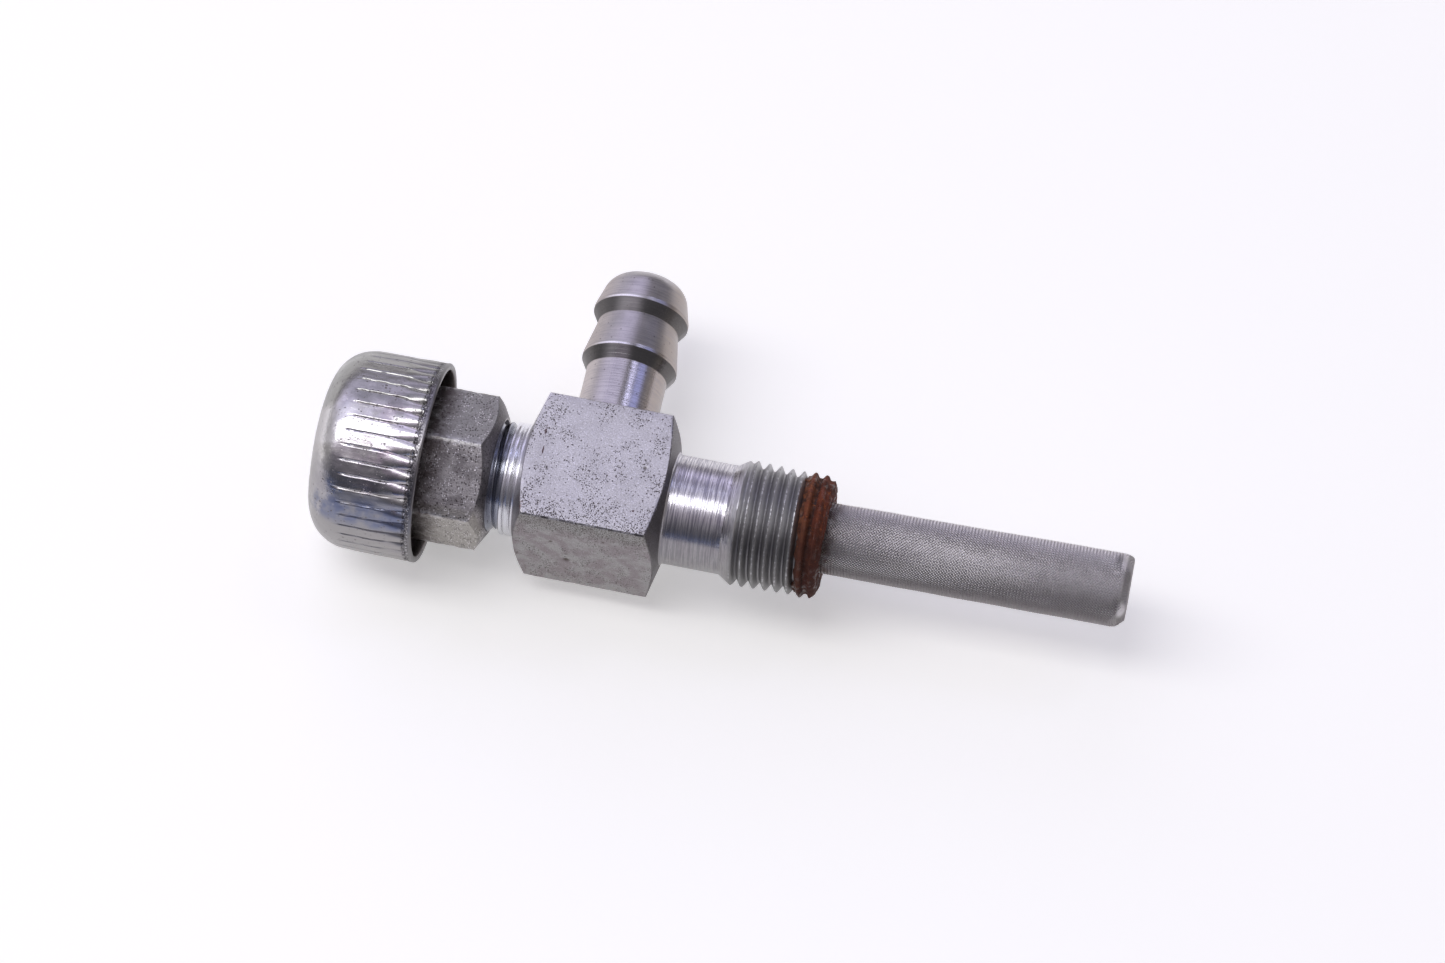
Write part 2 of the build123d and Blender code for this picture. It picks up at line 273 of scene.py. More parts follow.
def grid(rows, turns, closed=True):
    """Points and faces of rows of (x, radius) arrays turned about X at the given angles."""
    x = np.array([row[0] for row in rows])
    radius = np.array([row[1] for row in rows])
    points = np.stack([x, radius * np.cos(turns), radius * np.sin(turns)], axis=-1)
    count, columns = x.shape
    index = np.arange(count * columns).reshape(count, columns)
    if closed:
        index = np.concatenate([index, index[:1]])
    faces = np.stack([index[:-1, :-1], index[:-1, 1:], index[1:, 1:], index[1:, :-1]], axis=-1)
    return points.reshape(-1, 3), faces.reshape(-1, 4).tolist()


def column_angles(first_corner, sides, half_edge):
    """Angles of the columns round the X axis, with some right on the edges of a bar's corners."""
    middles = [first_corner + 360 / sides * k for k in range(sides)]
    corners = [middle + side * half_edge for middle in middles for side in (-1, 1)]
    even = [360 * i / COLUMNS for i in range(COLUMNS + 1)]
    kept = [a for a in even if all(abs(a - c) > half_edge for c in corners)]
    return np.radians(sorted(kept + corners))


angles = column_angles(45, 4, math.degrees(math.atan2(HALF_SQUARE, HALF_SQUARE - SQUARE_EDGE)) - 45)


def ring(x, radius, turns=angles):
    """A plain row of a grid."""
    ones = np.ones_like(turns)
    return x * ones, radius * ones


def arc(centre_x, centre_radius, reach, degrees):
    """Points (x, radius) of an arc at the given angles from +X."""
    turns = np.radians(degrees).tolist()
    return [(centre_x + reach * math.cos(t), centre_radius + reach * math.sin(t)) for t in turns]


def lumps(x, y, z, size, octaves=3):
    """Fractal noise at every point, with features of about the given size in millimetres."""
    spots = np.stack(np.broadcast_arrays(x, y, z), axis=-1).reshape(-1, 3) / size
    values = [noise.fractal(Vector(spot), 1.0, 2.0, octaves) for spot in spots.tolist()]
    return np.array(values).reshape(np.broadcast(x, y, z).shape)


def smooth(value, low, high):
    """A soft step from 0 at low to 1 at high."""
    t = np.clip((value - low) / (high - low), 0, 1)
    return t * t * (3 - 2 * t)


def square_radius():
    """Distance from the axis to the square's outline, edges included, at every column."""
    flat = HALF_SQUARE / np.maximum(np.abs(np.cos(angles)), np.abs(np.sin(angles)))
    from_corner = (angles % (math.pi / 2)) - math.pi / 4
    return np.minimum(flat, CORNER_RADIUS / np.cos(from_corner))


def helix_rows(x_from, x_to, lead, per_turn, radius_at):
    """Rows that follow a right-hand helix, cut off at both ends, with the given radius."""
    step = lead / per_turn
    rows = []
    for i in range(-per_turn, int((x_to - x_from) / step) + 2):
        x = np.clip(x_from + i * step + lead * angles / (2 * math.pi), x_from, x_to)
        rows.append((x, radius_at(x)))
    return rows


def thread_cut(x, pitch=THREAD_PITCH, crest_x=THREAD_CREST_X):
    """How deep a thread is cut: 0 on its crests, 1 in its roots."""
    turn = (angles - math.radians(THREAD_CREST_ANGLE)) / (2 * math.pi)
    phase = (x - crest_x) / pitch - turn
    from_crest = np.abs(phase - np.round(phase))
    flank = np.clip((from_crest - CREST_SHARE) / (0.5 - CREST_SHARE - ROOT_SHARE), 0, 1)
    return 0.7 * flank + 0.3 * smooth(flank, 0, 1)


def crest_radius(x):
    """Radius over the crests of the inlet's taper thread."""
    return THREAD_RADIUS - (x - THREAD_START_X) * THREAD_TAPER


def inlet_radius(x):
    """Radius of the spigot's flare, the taper thread and its end chamfer."""
    flare_slope = (THREAD_RADIUS - SPIGOT_RADIUS) / THREAD_RUNOUT
    flare = SPIGOT_RADIUS + (x - THREAD_START_X) * flare_slope
    cut = thread_cut(x)
    depth = THREAD_DEPTH * smooth(x, *THREAD_FADE)
    end = crest_radius(0) - THREAD_CHAMFER - x
    outside = np.minimum(np.minimum(flare, crest_radius(x)), end)
    nicks = lumps(x, outside * np.cos(angles), outside * np.sin(angles), 0.35, 2)
    worn = THREAD_NICK * np.maximum(nicks, 0) * (1 - cut)
    return np.minimum(outside, crest_radius(x) - depth * cut) - worn


def neck_radius(x):
    """Radius of the neck's thread, cut down at its end."""
    cut = thread_cut(x, NECK_PITCH, NECK_CREST_X)
    end = NECK_THREAD_RADIUS - NECK_CHAMFER + (x - NECK_END_X)
    return np.minimum(NECK_THREAD_RADIUS - (NECK_THREAD_RADIUS - UNDERCUT_RADIUS) * cut, end)


def plain_neck_rows():
    """The turned ring between the undercut and the square, with its tool marks."""
    rows = [ring(SHOULDER_X - 0.08, UNDERCUT_RADIUS), ring(SHOULDER_X, NECK_RADIUS - 0.05)]
    for x in np.linspace(SHOULDER_X + 0.06, BLOCK_LEFT_X - 0.02, 15):
        marks = sum(depth * math.exp(-(((x - place) / NECK_GROOVE_WIDTH) ** 2))
                    for place, depth in NECK_GROOVES)
        rows.append(ring(x, NECK_RADIUS - marks))
    return rows


def worn_bar(x, radius, turns, wear, least, wear_size, wave_size):
    """A bar's outline at one row, with uneven wear at its corners and shallow waves."""
    y, z = radius * np.cos(turns), radius * np.sin(turns)
    wear = wear * (least + lumps(x, y, z, wear_size))
    return radius - np.maximum(wear, 0) - WAVE_DEPTH * lumps(x, y, z, wave_size)


def worn_square(x, radius):
    """The square's outline at one row, with its wear and its dents."""
    y, z = radius * np.cos(angles), radius * np.sin(angles)
    sharp_corner = HALF_SQUARE * math.sqrt(2)
    wear = EDGE_WEAR * smooth(radius, sharp_corner - 0.5, sharp_corner - 0.1)
    radius = worn_bar(x, radius, angles, wear, 0.5, 1.1, 2.5)
    for place, reach, depth in DENTS:
        away = np.sqrt((x - place[0]) ** 2 + (y - place[1]) ** 2 + (z - place[2]) ** 2)
        radius = radius - depth * (1 - smooth(away, 0, reach))
    return radius


def body_rows():
    """All the rows of the body, from the end of its neck to the inlet and back through its bores."""
    square = square_radius()
    edge = FACE_EDGE
    left_slope = math.tan(math.radians(NECK_FACE_ANGLE))
    right_slope = math.tan(math.radians(INLET_FACE_ANGLE))
    left_x = BLOCK_LEFT_X + (square - NECK_RADIUS) * left_slope
    right_x = BLOCK_RIGHT_X - (square - SPIGOT_RADIUS) * right_slope

    rows = helix_rows(NECK_END_X, NECK_THREAD_X, NECK_PITCH, 10, neck_radius)
    rows += [ring(NECK_THREAD_X, UNDERCUT_RADIUS)]
    rows += plain_neck_rows()
    for share in np.linspace(0, 1, 8):
        radius = NECK_RADIUS + (square - edge - NECK_RADIUS) * share
        rows.append((BLOCK_LEFT_X + (radius - NECK_RADIUS) * left_slope, radius))
    for share in np.linspace(0, 1, 56):
        x = left_x + edge + (right_x - left_x - 2 * edge) * share
        rows.append((x, worn_square(x, square)))
    fillet_reach = SPIGOT_FILLET / math.tan(math.radians(90 + INLET_FACE_ANGLE) / 2)
    face_foot = SPIGOT_RADIUS + fillet_reach * math.cos(math.radians(INLET_FACE_ANGLE))
    for share in np.linspace(1, 0, 8):
        radius = face_foot + (square - edge - face_foot) * share
        rows.append((BLOCK_RIGHT_X - (radius - SPIGOT_RADIUS) * right_slope, radius))
    centre_x = BLOCK_RIGHT_X + fillet_reach
    sweep = np.linspace(180 + INLET_FACE_ANGLE, 270, 6)[1:]
    fillet = arc(centre_x, SPIGOT_RADIUS + SPIGOT_FILLET, SPIGOT_FILLET, sweep)
    rows += [ring(x, radius) for x, radius in fillet]
    for x in np.linspace(centre_x + 0.3, THREAD_START_X - 0.3, 5):
        rows.append(ring(x, SPIGOT_RADIUS))
    rows += helix_rows(THREAD_START_X, 0, THREAD_PITCH, 16, inlet_radius)
    rows += [
        ring(0, STRAINER_BORE_RADIUS),
        ring(STRAINER_BORE_X, STRAINER_BORE_RADIUS),
        ring(STRAINER_BORE_X, PASSAGE_RADIUS),
        ring(SEAT_X, PASSAGE_RADIUS),
        ring(SEAT_START_X, BORE_RADIUS),
        ring(GLAND_FLOOR_X, BORE_RADIUS),
        ring(GLAND_FLOOR_X, GLAND_RADIUS),
        ring(NECK_END_X, GLAND_RADIUS),
    ]
    return rows


def cut_port(piece):
    """Cuts the barb's seat and the port into the side of the body."""
    top = HALF_SQUARE + 1
    outline = [(SHANK_RADIUS, top), (SHANK_RADIUS, HALF_SQUARE - SHANK_DEPTH)]
    outline += [(PORT_RADIUS, HALF_SQUARE - SHANK_DEPTH), (PORT_RADIUS, 0)]
    sides = 64
    points = []
    for radius, y in outline:
        for k in range(sides):
            turn = 2 * math.pi * k / sides
            points.append((PORT_X + radius * math.cos(turn), y, radius * math.sin(turn)))
    faces = [list(range(sides)), list(range(3 * sides, 4 * sides))[::-1]]
    for row in range(3):
        for k in range(sides):
            a, b = row * sides + k, row * sides + (k + 1) % sides
            faces.append([a, b, b + sides, a + sides])
    cutter = new_mesh("cutter", points, faces)
    cut = piece.modifiers.new("port", "BOOLEAN")
    cut.operation, cut.solver, cut.object = "DIFFERENCE", "EXACT", cutter
    shapes = bpy.context.evaluated_depsgraph_get()
    shapes.update()
    done = bpy.data.meshes.new_from_object(piece.evaluated_get(shapes))
    piece.modifiers.clear()
    piece.data = done
    bpy.data.objects.remove(cutter)
    done.shade_smooth()
    done.set_sharp_from_angle(angle=math.radians(SHARP_ANGLE))


def make_body():
    """The one-piece body with its true threads."""
    piece = new_mesh("tap_body", *grid(body_rows(), angles))
    cut_port(piece)
    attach(piece, "valve_body")
    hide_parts("body")
    return piece


def make_nut():
    """The gland nut, with worn corners and chamfered ends."""
    half, centre_x = NUT_WIDTH / 2, (nut_low.x + nut_high.x) / 2
    corner = half / math.cos(math.pi / 6) - NUT_EDGE
    half_edge = math.degrees(math.atan2(NUT_EDGE * math.tan(math.pi / 3), corner))
    turns = column_angles(NUT_TURN, 6, half_edge)
    from_corner = (turns - math.radians(NUT_TURN) + math.pi / 6) % (math.pi / 3) - math.pi / 6
    hexagon = np.minimum(half / np.cos(math.pi / 6 - np.abs(from_corner)), corner / np.cos(from_corner))
    past_face = hexagon - NUT_FACE_RADIUS
    chamfer = past_face * math.tan(math.radians(NUT_CHAMFER_ANGLE))
    reach = (nut_high.x - nut_low.x) / 2
    wear = NUT_EDGE_WEAR * smooth(hexagon, corner - 0.35, corner)

    outside = []
    for share in np.linspace(0, 1, 8):
        outside.append((reach - chamfer * share, NUT_FACE_RADIUS + past_face * share))
    for share in np.linspace(0.985, 0, 18):
        x = (reach - chamfer) * share
        outside.append((x, worn_bar(x, hexagon, turns, wear, 0.6, 0.7, 1.8)))
    rows = [(centre_x + x, radius) for x, radius in outside]
    rows += [(centre_x - x, radius) for x, radius in reversed(outside[:-1])]
    wall_x = nut_low.x + NUT_END_WALL
    rows += [
        ring(nut_low.x, NUT_HOLE_RADIUS, turns),
        ring(wall_x, NUT_HOLE_RADIUS, turns),
        ring(wall_x, NUT_THREAD_RADIUS, turns),
        ring(nut_high.x, NUT_THREAD_RADIUS, turns),
    ]
    piece = new_mesh("hexagon_nut", *grid(rows, turns))
    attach(piece, "valve_body")
    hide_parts("gland_nut")
    return piece


def make_rust():
    """The coat of rust and old sealant: a lumpy closed ring round the last threads and the end face."""
    across, up = np.cos(angles), np.sin(angles)
    start = RUST_X - RUST_SWING * np.cos(angles - math.radians(THREAD_CREST_ANGLE))
    start = start + RUST_EDGE_LUMP * lumps(0.0, across * 4.9, up * 4.9, 1.5)
    rows = []
    for i in range(RUST_ROWS + 1):
        share = i / RUST_ROWS
        x = start + (RUST_LAP - start) * share
        lump = lumps(x, across * 5, up * 5, 0.8, 4)
        dip = RUST_DIP * (0.5 - 0.5 * np.cos(math.pi * thread_cut(x))) ** 0.8
        rounded = crest_radius(x) - dip
        end = crest_radius(x) + 0.02 - 1.1 * np.maximum(x + 0.5, 0) ** 1.6
        outside = np.minimum(rounded, end) + RUST_THICKNESS * np.maximum(1 + lump, 0.65)
        buried = inlet_radius(np.minimum(x, -0.2)) - 0.06
        grow = smooth(share, 0, 0.05)
        rows.append((x, buried + (np.maximum(outside, buried + 0.02) - buried) * grow))
    edge_radius = rows[-1][1]
    for i in range(1, RUST_FACE_ROWS + 1):
        share = i / RUST_FACE_ROWS
        radius = edge_radius + (RUST_INNER_RADIUS - edge_radius) * share
        lump = lumps(5.0, radius * across, radius * up, 0.8, 4)
        bulge = RUST_LAP + RUST_BULGE * math.sin(math.pi * min(share * 1.1, 1))
        rows.append((np.maximum(bulge + 0.10 * lump * (1 - share ** 4), 0.02), radius))
    rows += [ring(RUST_BURIED_X, RUST_INNER_RADIUS), ring(RUST_BURIED_X, RUST_BURIED_RADIUS)]
    rows.append((start + 0.05, np.full_like(start, RUST_BURIED_RADIUS)))
    piece = new_mesh("rust_coat", *grid(rows, angles), sharp_angle=80)
    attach(piece, "valve_body")
    return piece


def place_on_strainer(along, across, up):
    """A point of the strainer's own frame, leaning as the tube does, in the part's frame."""
    lean = math.radians(MESH_LEAN)
    x = MESH_ROOT_X + along * math.cos(lean) - across * math.sin(lean)
    y = along * math.sin(lean) + across * math.cos(lean)
    return np.stack([x, y, up], axis=-1)


def cloth_point(distance, turn, lift):
    """A point on the wire cloth: up the tube, then in across its folded end."""
    slope = (MESH_END_RADIUS - MESH_ROOT_RADIUS) / MESH_LENGTH
    wall = MESH_LENGTH - MESH_CORNER
    over = np.maximum(distance - wall, 0)
    bend = np.minimum(over / MESH_CORNER, math.pi / 2)
    past = np.maximum(over - MESH_CORNER * math.pi / 2, 0)
    tube = MESH_ROOT_RADIUS + slope * np.minimum(distance, wall)
    along = np.minimum(distance, wall) + (MESH_CORNER + lift) * np.sin(bend)
    radius = tube - MESH_CORNER + (MESH_CORNER + lift) * np.cos(bend) - past
    across, up = radius * np.cos(turn), radius * np.sin(turn)
    for degrees, length, depth in TUCKS:
        face, run = math.radians(degrees), math.hypot(length, depth)
        normal_along, normal_out = depth / run, length / run
        limit = (MESH_LENGTH - length) * normal_along + MESH_END_RADIUS * normal_out
        out = across * math.cos(face) + up * math.sin(face)
        beyond = np.maximum(along * normal_along + out * normal_out - lift - limit, 0)
        along = along - beyond * normal_along
        across = across - beyond * normal_out * math.cos(face)
        up = up - beyond * normal_out * math.sin(face)
    return place_on_strainer(along, across, up)


def make_wires(name, direction):
    """One set of the strainer's wires, which wind one way and weave over and under the other set."""
    middle_radius = (MESH_ROOT_RADIUS + MESH_END_RADIUS) / 2
    step = math.pi * middle_radius / WIRE_COUNT
    crossings = int((MESH_LENGTH + FOLDED_LENGTH - MESH_START) / step)
    index = np.arange(crossings + 1)
    distance = MESH_START + index * step
    weave = direction * WIRE_RADIUS * WIRE_WEAVE * (1 - 2 * (index % 2))
    points, faces = [], []
    corners = np.arange(WIRE_SIDES)
    after = (corners + 1) % WIRE_SIDES
    for wire in range(WIRE_COUNT):
        turn = 2 * math.pi * wire / WIRE_COUNT + direction * index * math.pi / WIRE_COUNT
        sag = WIRE_SAG * lumps(distance, 3 * np.cos(turn), 3 * np.sin(turn), 4.0, 2)
        lift = weave - 2 * WIRE_RADIUS + sag
        line = cloth_point(distance, turn, lift)
        forward = np.gradient(line, axis=0)
        forward /= np.linalg.norm(forward, axis=1, keepdims=True)
        out = cloth_point(distance, turn, lift + 0.1) - line
        out -= forward * np.sum(out * forward, axis=1, keepdims=True)
        out /= np.maximum(np.linalg.norm(out, axis=1, keepdims=True), 1e-9)
        side = np.cross(forward, out)
        tube = [line + WIRE_RADIUS * (out * math.cos(t) + side * math.sin(t))
                for t in corners * 2 * math.pi / WIRE_SIDES]
        points.append(np.stack(tube, axis=1).reshape(-1, 3))
        first = wire * (crossings + 1) * WIRE_SIDES
        rows = first + index[:-1, None] * WIRE_SIDES
        quads = [rows + corners, rows + after, rows + WIRE_SIDES + after, rows + WIRE_SIDES + corners]
        faces += np.stack(quads, axis=-1).reshape(-1, 4).tolist()
        faces.append((first + corners)[::-1].tolist())
        faces.append((first + crossings * WIRE_SIDES + corners).tolist())
    mesh = bpy.data.meshes.new(name)
    mesh.from_pydata(np.concatenate(points) * MM, [], faces)
    mesh.shade_smooth()
    piece = add_object(name, mesh)
    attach(piece, "valve_body")
    return piece


def make_strainer():
    """Both sets of wires, which together stand for the strainer."""
    pieces = [make_wires("strainer_wires_left", -1), make_wires("strainer_wires_right", 1)]
    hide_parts("strainer_mesh")
    return pieces


def knurl_columns():
    """Angle of each column of the cap, the groove it is nearest, and how far off, up to 1 or -1."""
    pitch = 2 * math.pi / KNURL_COUNT
    steps = (0.0, 0.07, 0.15, 0.25, 0.38, 0.54, 0.72, 0.87)
    offsets = [-1.0] + [-s for s in reversed(steps[1:])] + list(steps)
    grooves = np.repeat(np.arange(KNURL_COUNT), len(offsets))
    shares = np.tile(offsets, KNURL_COUNT)
    turns = math.radians(90 + KNURL_TURN) + (grooves + shares / 2) * pitch
    return np.append(turns, turns[0] + 2 * math.pi), np.append(grooves, 0), np.append(shares, offsets[0])


def skirt_radius(x, inset=0.0):
    """Radius of the cap's drafted skirt, or of a surface set in from it."""
    return CAP_RIM_RADIUS - inset - (CAP_RIM_X - x) * math.tan(math.radians(CAP_DRAFT))


def cap_side(inset, crown_rows, corner_rows):
    """Rows (x, radius, normal) of the domed end and its corner, from the axis out to the skirt."""
    end_x, end_radius = CAP_END_X + inset, skirt_radius(CAP_END_X, inset)
    corner = CAP_CORNER - inset
    crown = (end_radius ** 2 + CAP_CROWN ** 2) / (2 * CAP_CROWN)
    crown_x = end_x + crown
    draft = math.radians(CAP_DRAFT)
    centre_x = end_x + corner
    for _ in range(8):
        centre_radius = skirt_radius(centre_x, inset) - corner / math.cos(draft)
        centre_x = crown_x - math.sqrt((crown - corner) ** 2 - centre_radius ** 2)
    tilt = math.atan2(centre_radius, crown_x - centre_x)
    rows = []
    for share in np.linspace(0, 1, crown_rows)[:-1]:
        turn = tilt * share
        x, radius = crown_x - crown * math.cos(turn), crown * math.sin(turn)
        rows.append((x, radius, -math.cos(turn), math.sin(turn)))
    for turn in np.linspace(math.pi - tilt, math.pi / 2 + draft, corner_rows):
        across, out = math.cos(turn), math.sin(turn)
        rows.append((centre_x + corner * across, centre_radius + corner * out, across, out))
    return rows


def cap_relief(x, radius, turns, grooves, shares):
    """How far the cap's outer surface stands off its plain form, at every column of one row."""
    half_pitch = math.pi * CAP_RIM_RADIUS / KNURL_COUNT
    off = np.abs(shares) * half_pitch
    y, z = radius * np.cos(turns), radius * np.sin(turns)
    uneven = lumps(1.7 * grooves, 0.0, 0.0, 0.9, 1)
    line_start = FLUTE_START_X - LINE_LENGTH - 0.7 * uneven

    reach = np.clip((x - FLUTE_START_X - 0.35 * uneven) / FLUTE_LENGTH, 0, 1)
    closing = 1 - smooth(x, FLUTE_END_X - 0.05, FLUTE_END_X + 0.16)
    rounded = (1 - np.abs(shares)) ** 2.2
    relief = -FLUTE_DEPTH * (0.12 * smooth(reach, 0, 0.15) + 0.88 * reach ** 1.3) * rounded * closing
    broken = smooth(lumps(x / 0.8, grooves * 3.1, 0.0, 1.0, 2), -0.35, 0.05)
    drawn = smooth(x, line_start, line_start + 0.25) * (1 - smooth(reach, 0.15, 0.5))
    drawn = drawn * (0.6 + 0.4 * broken)
    relief = relief - LINE_DEPTH * drawn * (1 - smooth(off, 0, LINE_HALF_WIDTH))
    lip = np.exp(-(((off - LINE_LIP_AT) / LINE_LIP_WIDTH) ** 2))
    relief = relief + 0.2 * LINE_DEPTH * drawn * lip
    relief = relief + 0.045 * lumps(x, y, z, 3.0, 2) + 0.010 * lumps(x, y, z, 0.7, 3)
    ragged = smooth(x, FLUTE_END_X - FLUTE_CLOSING, FLUTE_END_X)
    ragged = ragged * (1 - smooth(x, FLUTE_END_X + 0.12, FLUTE_END_X + 0.3))
    return relief - 0.11 * ragged * np.abs(lumps(x, y, z, 0.3, 3))


def make_cap():
    """The pressed cap with its rolled knurl, pits and dents."""
    turns, grooves, shares = knurl_columns()
    outside = cap_side(0.0, 14, 20)
    draft = math.radians(CAP_DRAFT)
    closing_x, rim_x = FLUTE_END_X - FLUTE_CLOSING, CAP_RIM_X - CAP_RIM_EDGE
    places = np.concatenate([
        np.linspace(outside[-1][0], FLUTE_START_X, 16)[1:],
        np.linspace(FLUTE_START_X, closing_x, 18)[1:],
        np.linspace(closing_x, rim_x, 13)[1:],
    ])
    for x in places:
        outside.append((x, skirt_radius(x), -math.sin(draft), math.cos(draft)))
    rows = []
    for x, radius, across, out in outside:
        relief = cap_relief(x, radius, turns, grooves, shares)
        relief = relief * smooth(radius, 0.5, 2.0)
        rows.append((x + across * relief, radius + out * relief))
    rim = arc(rim_x, CAP_RIM_RADIUS - CAP_RIM_EDGE, CAP_RIM_EDGE, np.linspace(90, 0, 5)[1:])
    rim += arc(rim_x, CAP_RIM_RADIUS - CAP_WALL + CAP_RIM_EDGE, CAP_RIM_EDGE, np.linspace(0, -90, 4))
    rows += [ring(x, radius, turns) for x, radius in rim]
    inside = cap_side(CAP_WALL, 4, 8)
    for x in np.linspace(CAP_RIM_X - 0.6, inside[-1][0], 6)[:-1]:
        rows.append(ring(x, skirt_radius(x, CAP_WALL), turns))
    rows += [ring(x, radius, turns) for x, radius, _, _ in reversed(inside)]
    piece = new_mesh("knob_shell", *grid(rows, turns, closed=False), sharp_angle=50)
    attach(piece, "knob")
    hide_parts("knob_cap")
    return piece


class Nodes:
    """Short ways to add nodes to a shader's tree. A step, share or mask goes from 0 to 1."""

    def __init__(self, tree, coordinates):
        self.tree = tree
        self.place = self.node("ShaderNodeTexCoord").outputs[coordinates]

    def node(self, kind, **inputs):
        """A new node with the given inputs, whose names have _ for a space."""
        made = self.tree.nodes.new(kind)
        for name, value in inputs.items():
            self.feed(made.inputs[name.replace("_", " ")], value)
        return made

    def feed(self, socket, value):
        """Links an output to a socket, or sets the socket's own value."""
        if isinstance(value, bpy.types.NodeSocket):
            self.tree.links.new(value, socket)
        elif isinstance(value, tuple) and len(value) == 3 and socket.type == "RGBA":
            socket.default_value = (*value, 1)
        else:
            socket.default_value = value

    def operate(self, kind, operation, values):
        made = self.node(kind)
        made.operation = operation
        for socket, value in zip(made.inputs, values):
            self.feed(socket, value)
        return made.outputs

    def vector(self, operation, *values):
        outputs = self.operate("ShaderNodeVectorMath", operation, values)
        return outputs["Value" if operation in ("LENGTH", "DOT_PRODUCT") else "Vector"]

    def maths(self, operation, *values):
        return self.operate("ShaderNodeMath", operation, values)[0]

    def chain(self, operation, first, *others):
        """The same operation on a value and each of the others in turn."""
        for other in others:
            first = self.maths(operation, first, other)
        return first

    times = partialmethod(chain, "MULTIPLY")
    plus = partialmethod(chain, "ADD")
    less = partialmethod(chain, "SUBTRACT")
    most = partialmethod(chain, "MAXIMUM")

    def step(self, value, low, high, start=0.0, end=1.0, kind="SMOOTHSTEP"):
        """A soft step of a value from start at low to end at high."""
        made = self.node("ShaderNodeMapRange", Value=value, From_Min=low, From_Max=high, To_Min=start,
                         To_Max=end)
        made.interpolation_type = kind
        return made.outputs["Result"]

    def band(self, value, start, full, last, end):
        """1 from full to last, and softly down to 0 at start and at end."""
        return self.times(self.step(value, start, full), self.step(value, end, last))

    def vary(self, share, start, end):
        """A number that goes from start to end as the share goes from 0 to 1."""
        return self.step(share, 0.0, 1.0, start, end, "LINEAR")

    def blend(self, share, a, b):
        """Mixes two colours by a share. The node has its colours on sockets of their own."""
        made = self.node("ShaderNodeMix")
        made.data_type = "RGBA"
        for place, value in ((0, share), (6, a), (7, b)):
            self.feed(made.inputs[place], value)
        return made.outputs[2]


class Paint(Nodes):
    """A material under construction, in the part's own coordinates. Lengths are in millimetres."""

    def __init__(self, name, colour, metallic, roughness):
        self.material = bpy.data.materials.new(name)
        self.material.use_nodes = True
        super().__init__(self.material.node_tree, "Object")
        self.shader = self.tree.nodes["Principled BSDF"]
        for socket, value in (("Base Color", colour), ("Metallic", metallic), ("Roughness", roughness)):
            self.feed(self.shader.inputs[socket], value)
        self.colour = colour
        self.last_bump = None

    def noise(self, size, detail=3.0, rough=0.55):
        """Cloudy noise from 0 to 1 with features of about the given size."""
        made = self.node("ShaderNodeTexNoise", Vector=self.place, Scale=1 / (size * MM), Detail=detail,
                         Roughness=rough)
        return made.outputs["Fac"]

    def patches(self, size, low, high, detail=3.0, rough=0.55):
        """Soft patches: a step of noise of the given size."""
        return self.step(self.noise(size, detail, rough), low, high)

    def streaks(self, x, y, z, detail=3.0, rough=0.6):
        """Noise whose features have their own length along each axis."""
        scaled = self.vector("DIVIDE", self.place, (x * MM, y * MM, z * MM))
        made = self.node("ShaderNodeTexNoise", Vector=scaled, Scale=1.0, Detail=detail, Roughness=rough)
        return made.outputs["Fac"]

    def spots(self, size, radius, share):
        """Scattered spots in cells of a size, with a radius in cells: share is how many have one."""
        cells = self.node("ShaderNodeTexVoronoi", Vector=self.place, Scale=1 / (size * MM))
        inside = self.step(cells.outputs["Distance"], radius * 0.6, radius, 1.0, 0.0)
        pick = self.node("ShaderNodeSeparateColor", Color=cells.outputs["Color"]).outputs[0]
        return self.times(inside, self.step(self.less(share, pick), -0.03, 0.03))

    def axes(self):
        """The three coordinates of the part."""
        scaled = self.vector("DIVIDE", self.place, (MM, MM, MM))
        split = self.node("ShaderNodeSeparateXYZ", Vector=scaled)
        return [split.outputs[letter] for letter in "XYZ"]

    def radius(self):
        """Distance from the main axis."""
        return self.vector("LENGTH", self.vector("MULTIPLY", self.place, (0, 1 / MM, 1 / MM)))

    def below_crests(self, x):
        """How far a point lies in from the crests of the inlet's thread."""
        crest = self.less(THREAD_RADIUS + THREAD_START_X * THREAD_TAPER, self.times(x, THREAD_TAPER))
        return self.less(crest, self.radius())

    def mark(self, place, reach, soft):
        """0 beyond a reach along each axis from a place, and 1 within a share of it."""
        away = self.vector("SUBTRACT", self.place, tuple(part * MM for part in place))
        away = self.vector("DIVIDE", away, tuple(part * MM for part in reach))
        return self.step(self.vector("LENGTH", away), soft, 1.0, 1.0, 0.0)

    def clouded(self, clouds, dark, pale):
        """Starts the colour as a pale one with dark clouds."""
        self.colour = self.blend(self.step(clouds, 0.35, 0.65), dark, pale)

    def lay(self, tone, *shares):
        """Lays a colour over what is there, by the product of the shares."""
        self.colour = self.blend(self.times(*shares), self.colour, tone)

    def bump(self, height, depth):
        """Adds relief: height from 0 to 1 stands for a depth."""
        made = self.node("ShaderNodeBump", Height=height, Strength=1.0, Distance=depth * MM)
        if self.last_bump:
            self.feed(made.inputs["Normal"], self.last_bump)
        self.last_bump = made.outputs["Normal"]
        self.feed(self.shader.inputs["Normal"], self.last_bump)

    def finish(self, roughness=None):
        """The material, with the colours laid on it and, where given, a varied roughness."""
        self.feed(self.shader.inputs["Base Color"], self.colour)
        if roughness is not None:
            self.feed(self.shader.inputs["Roughness"], roughness)
        return self.material


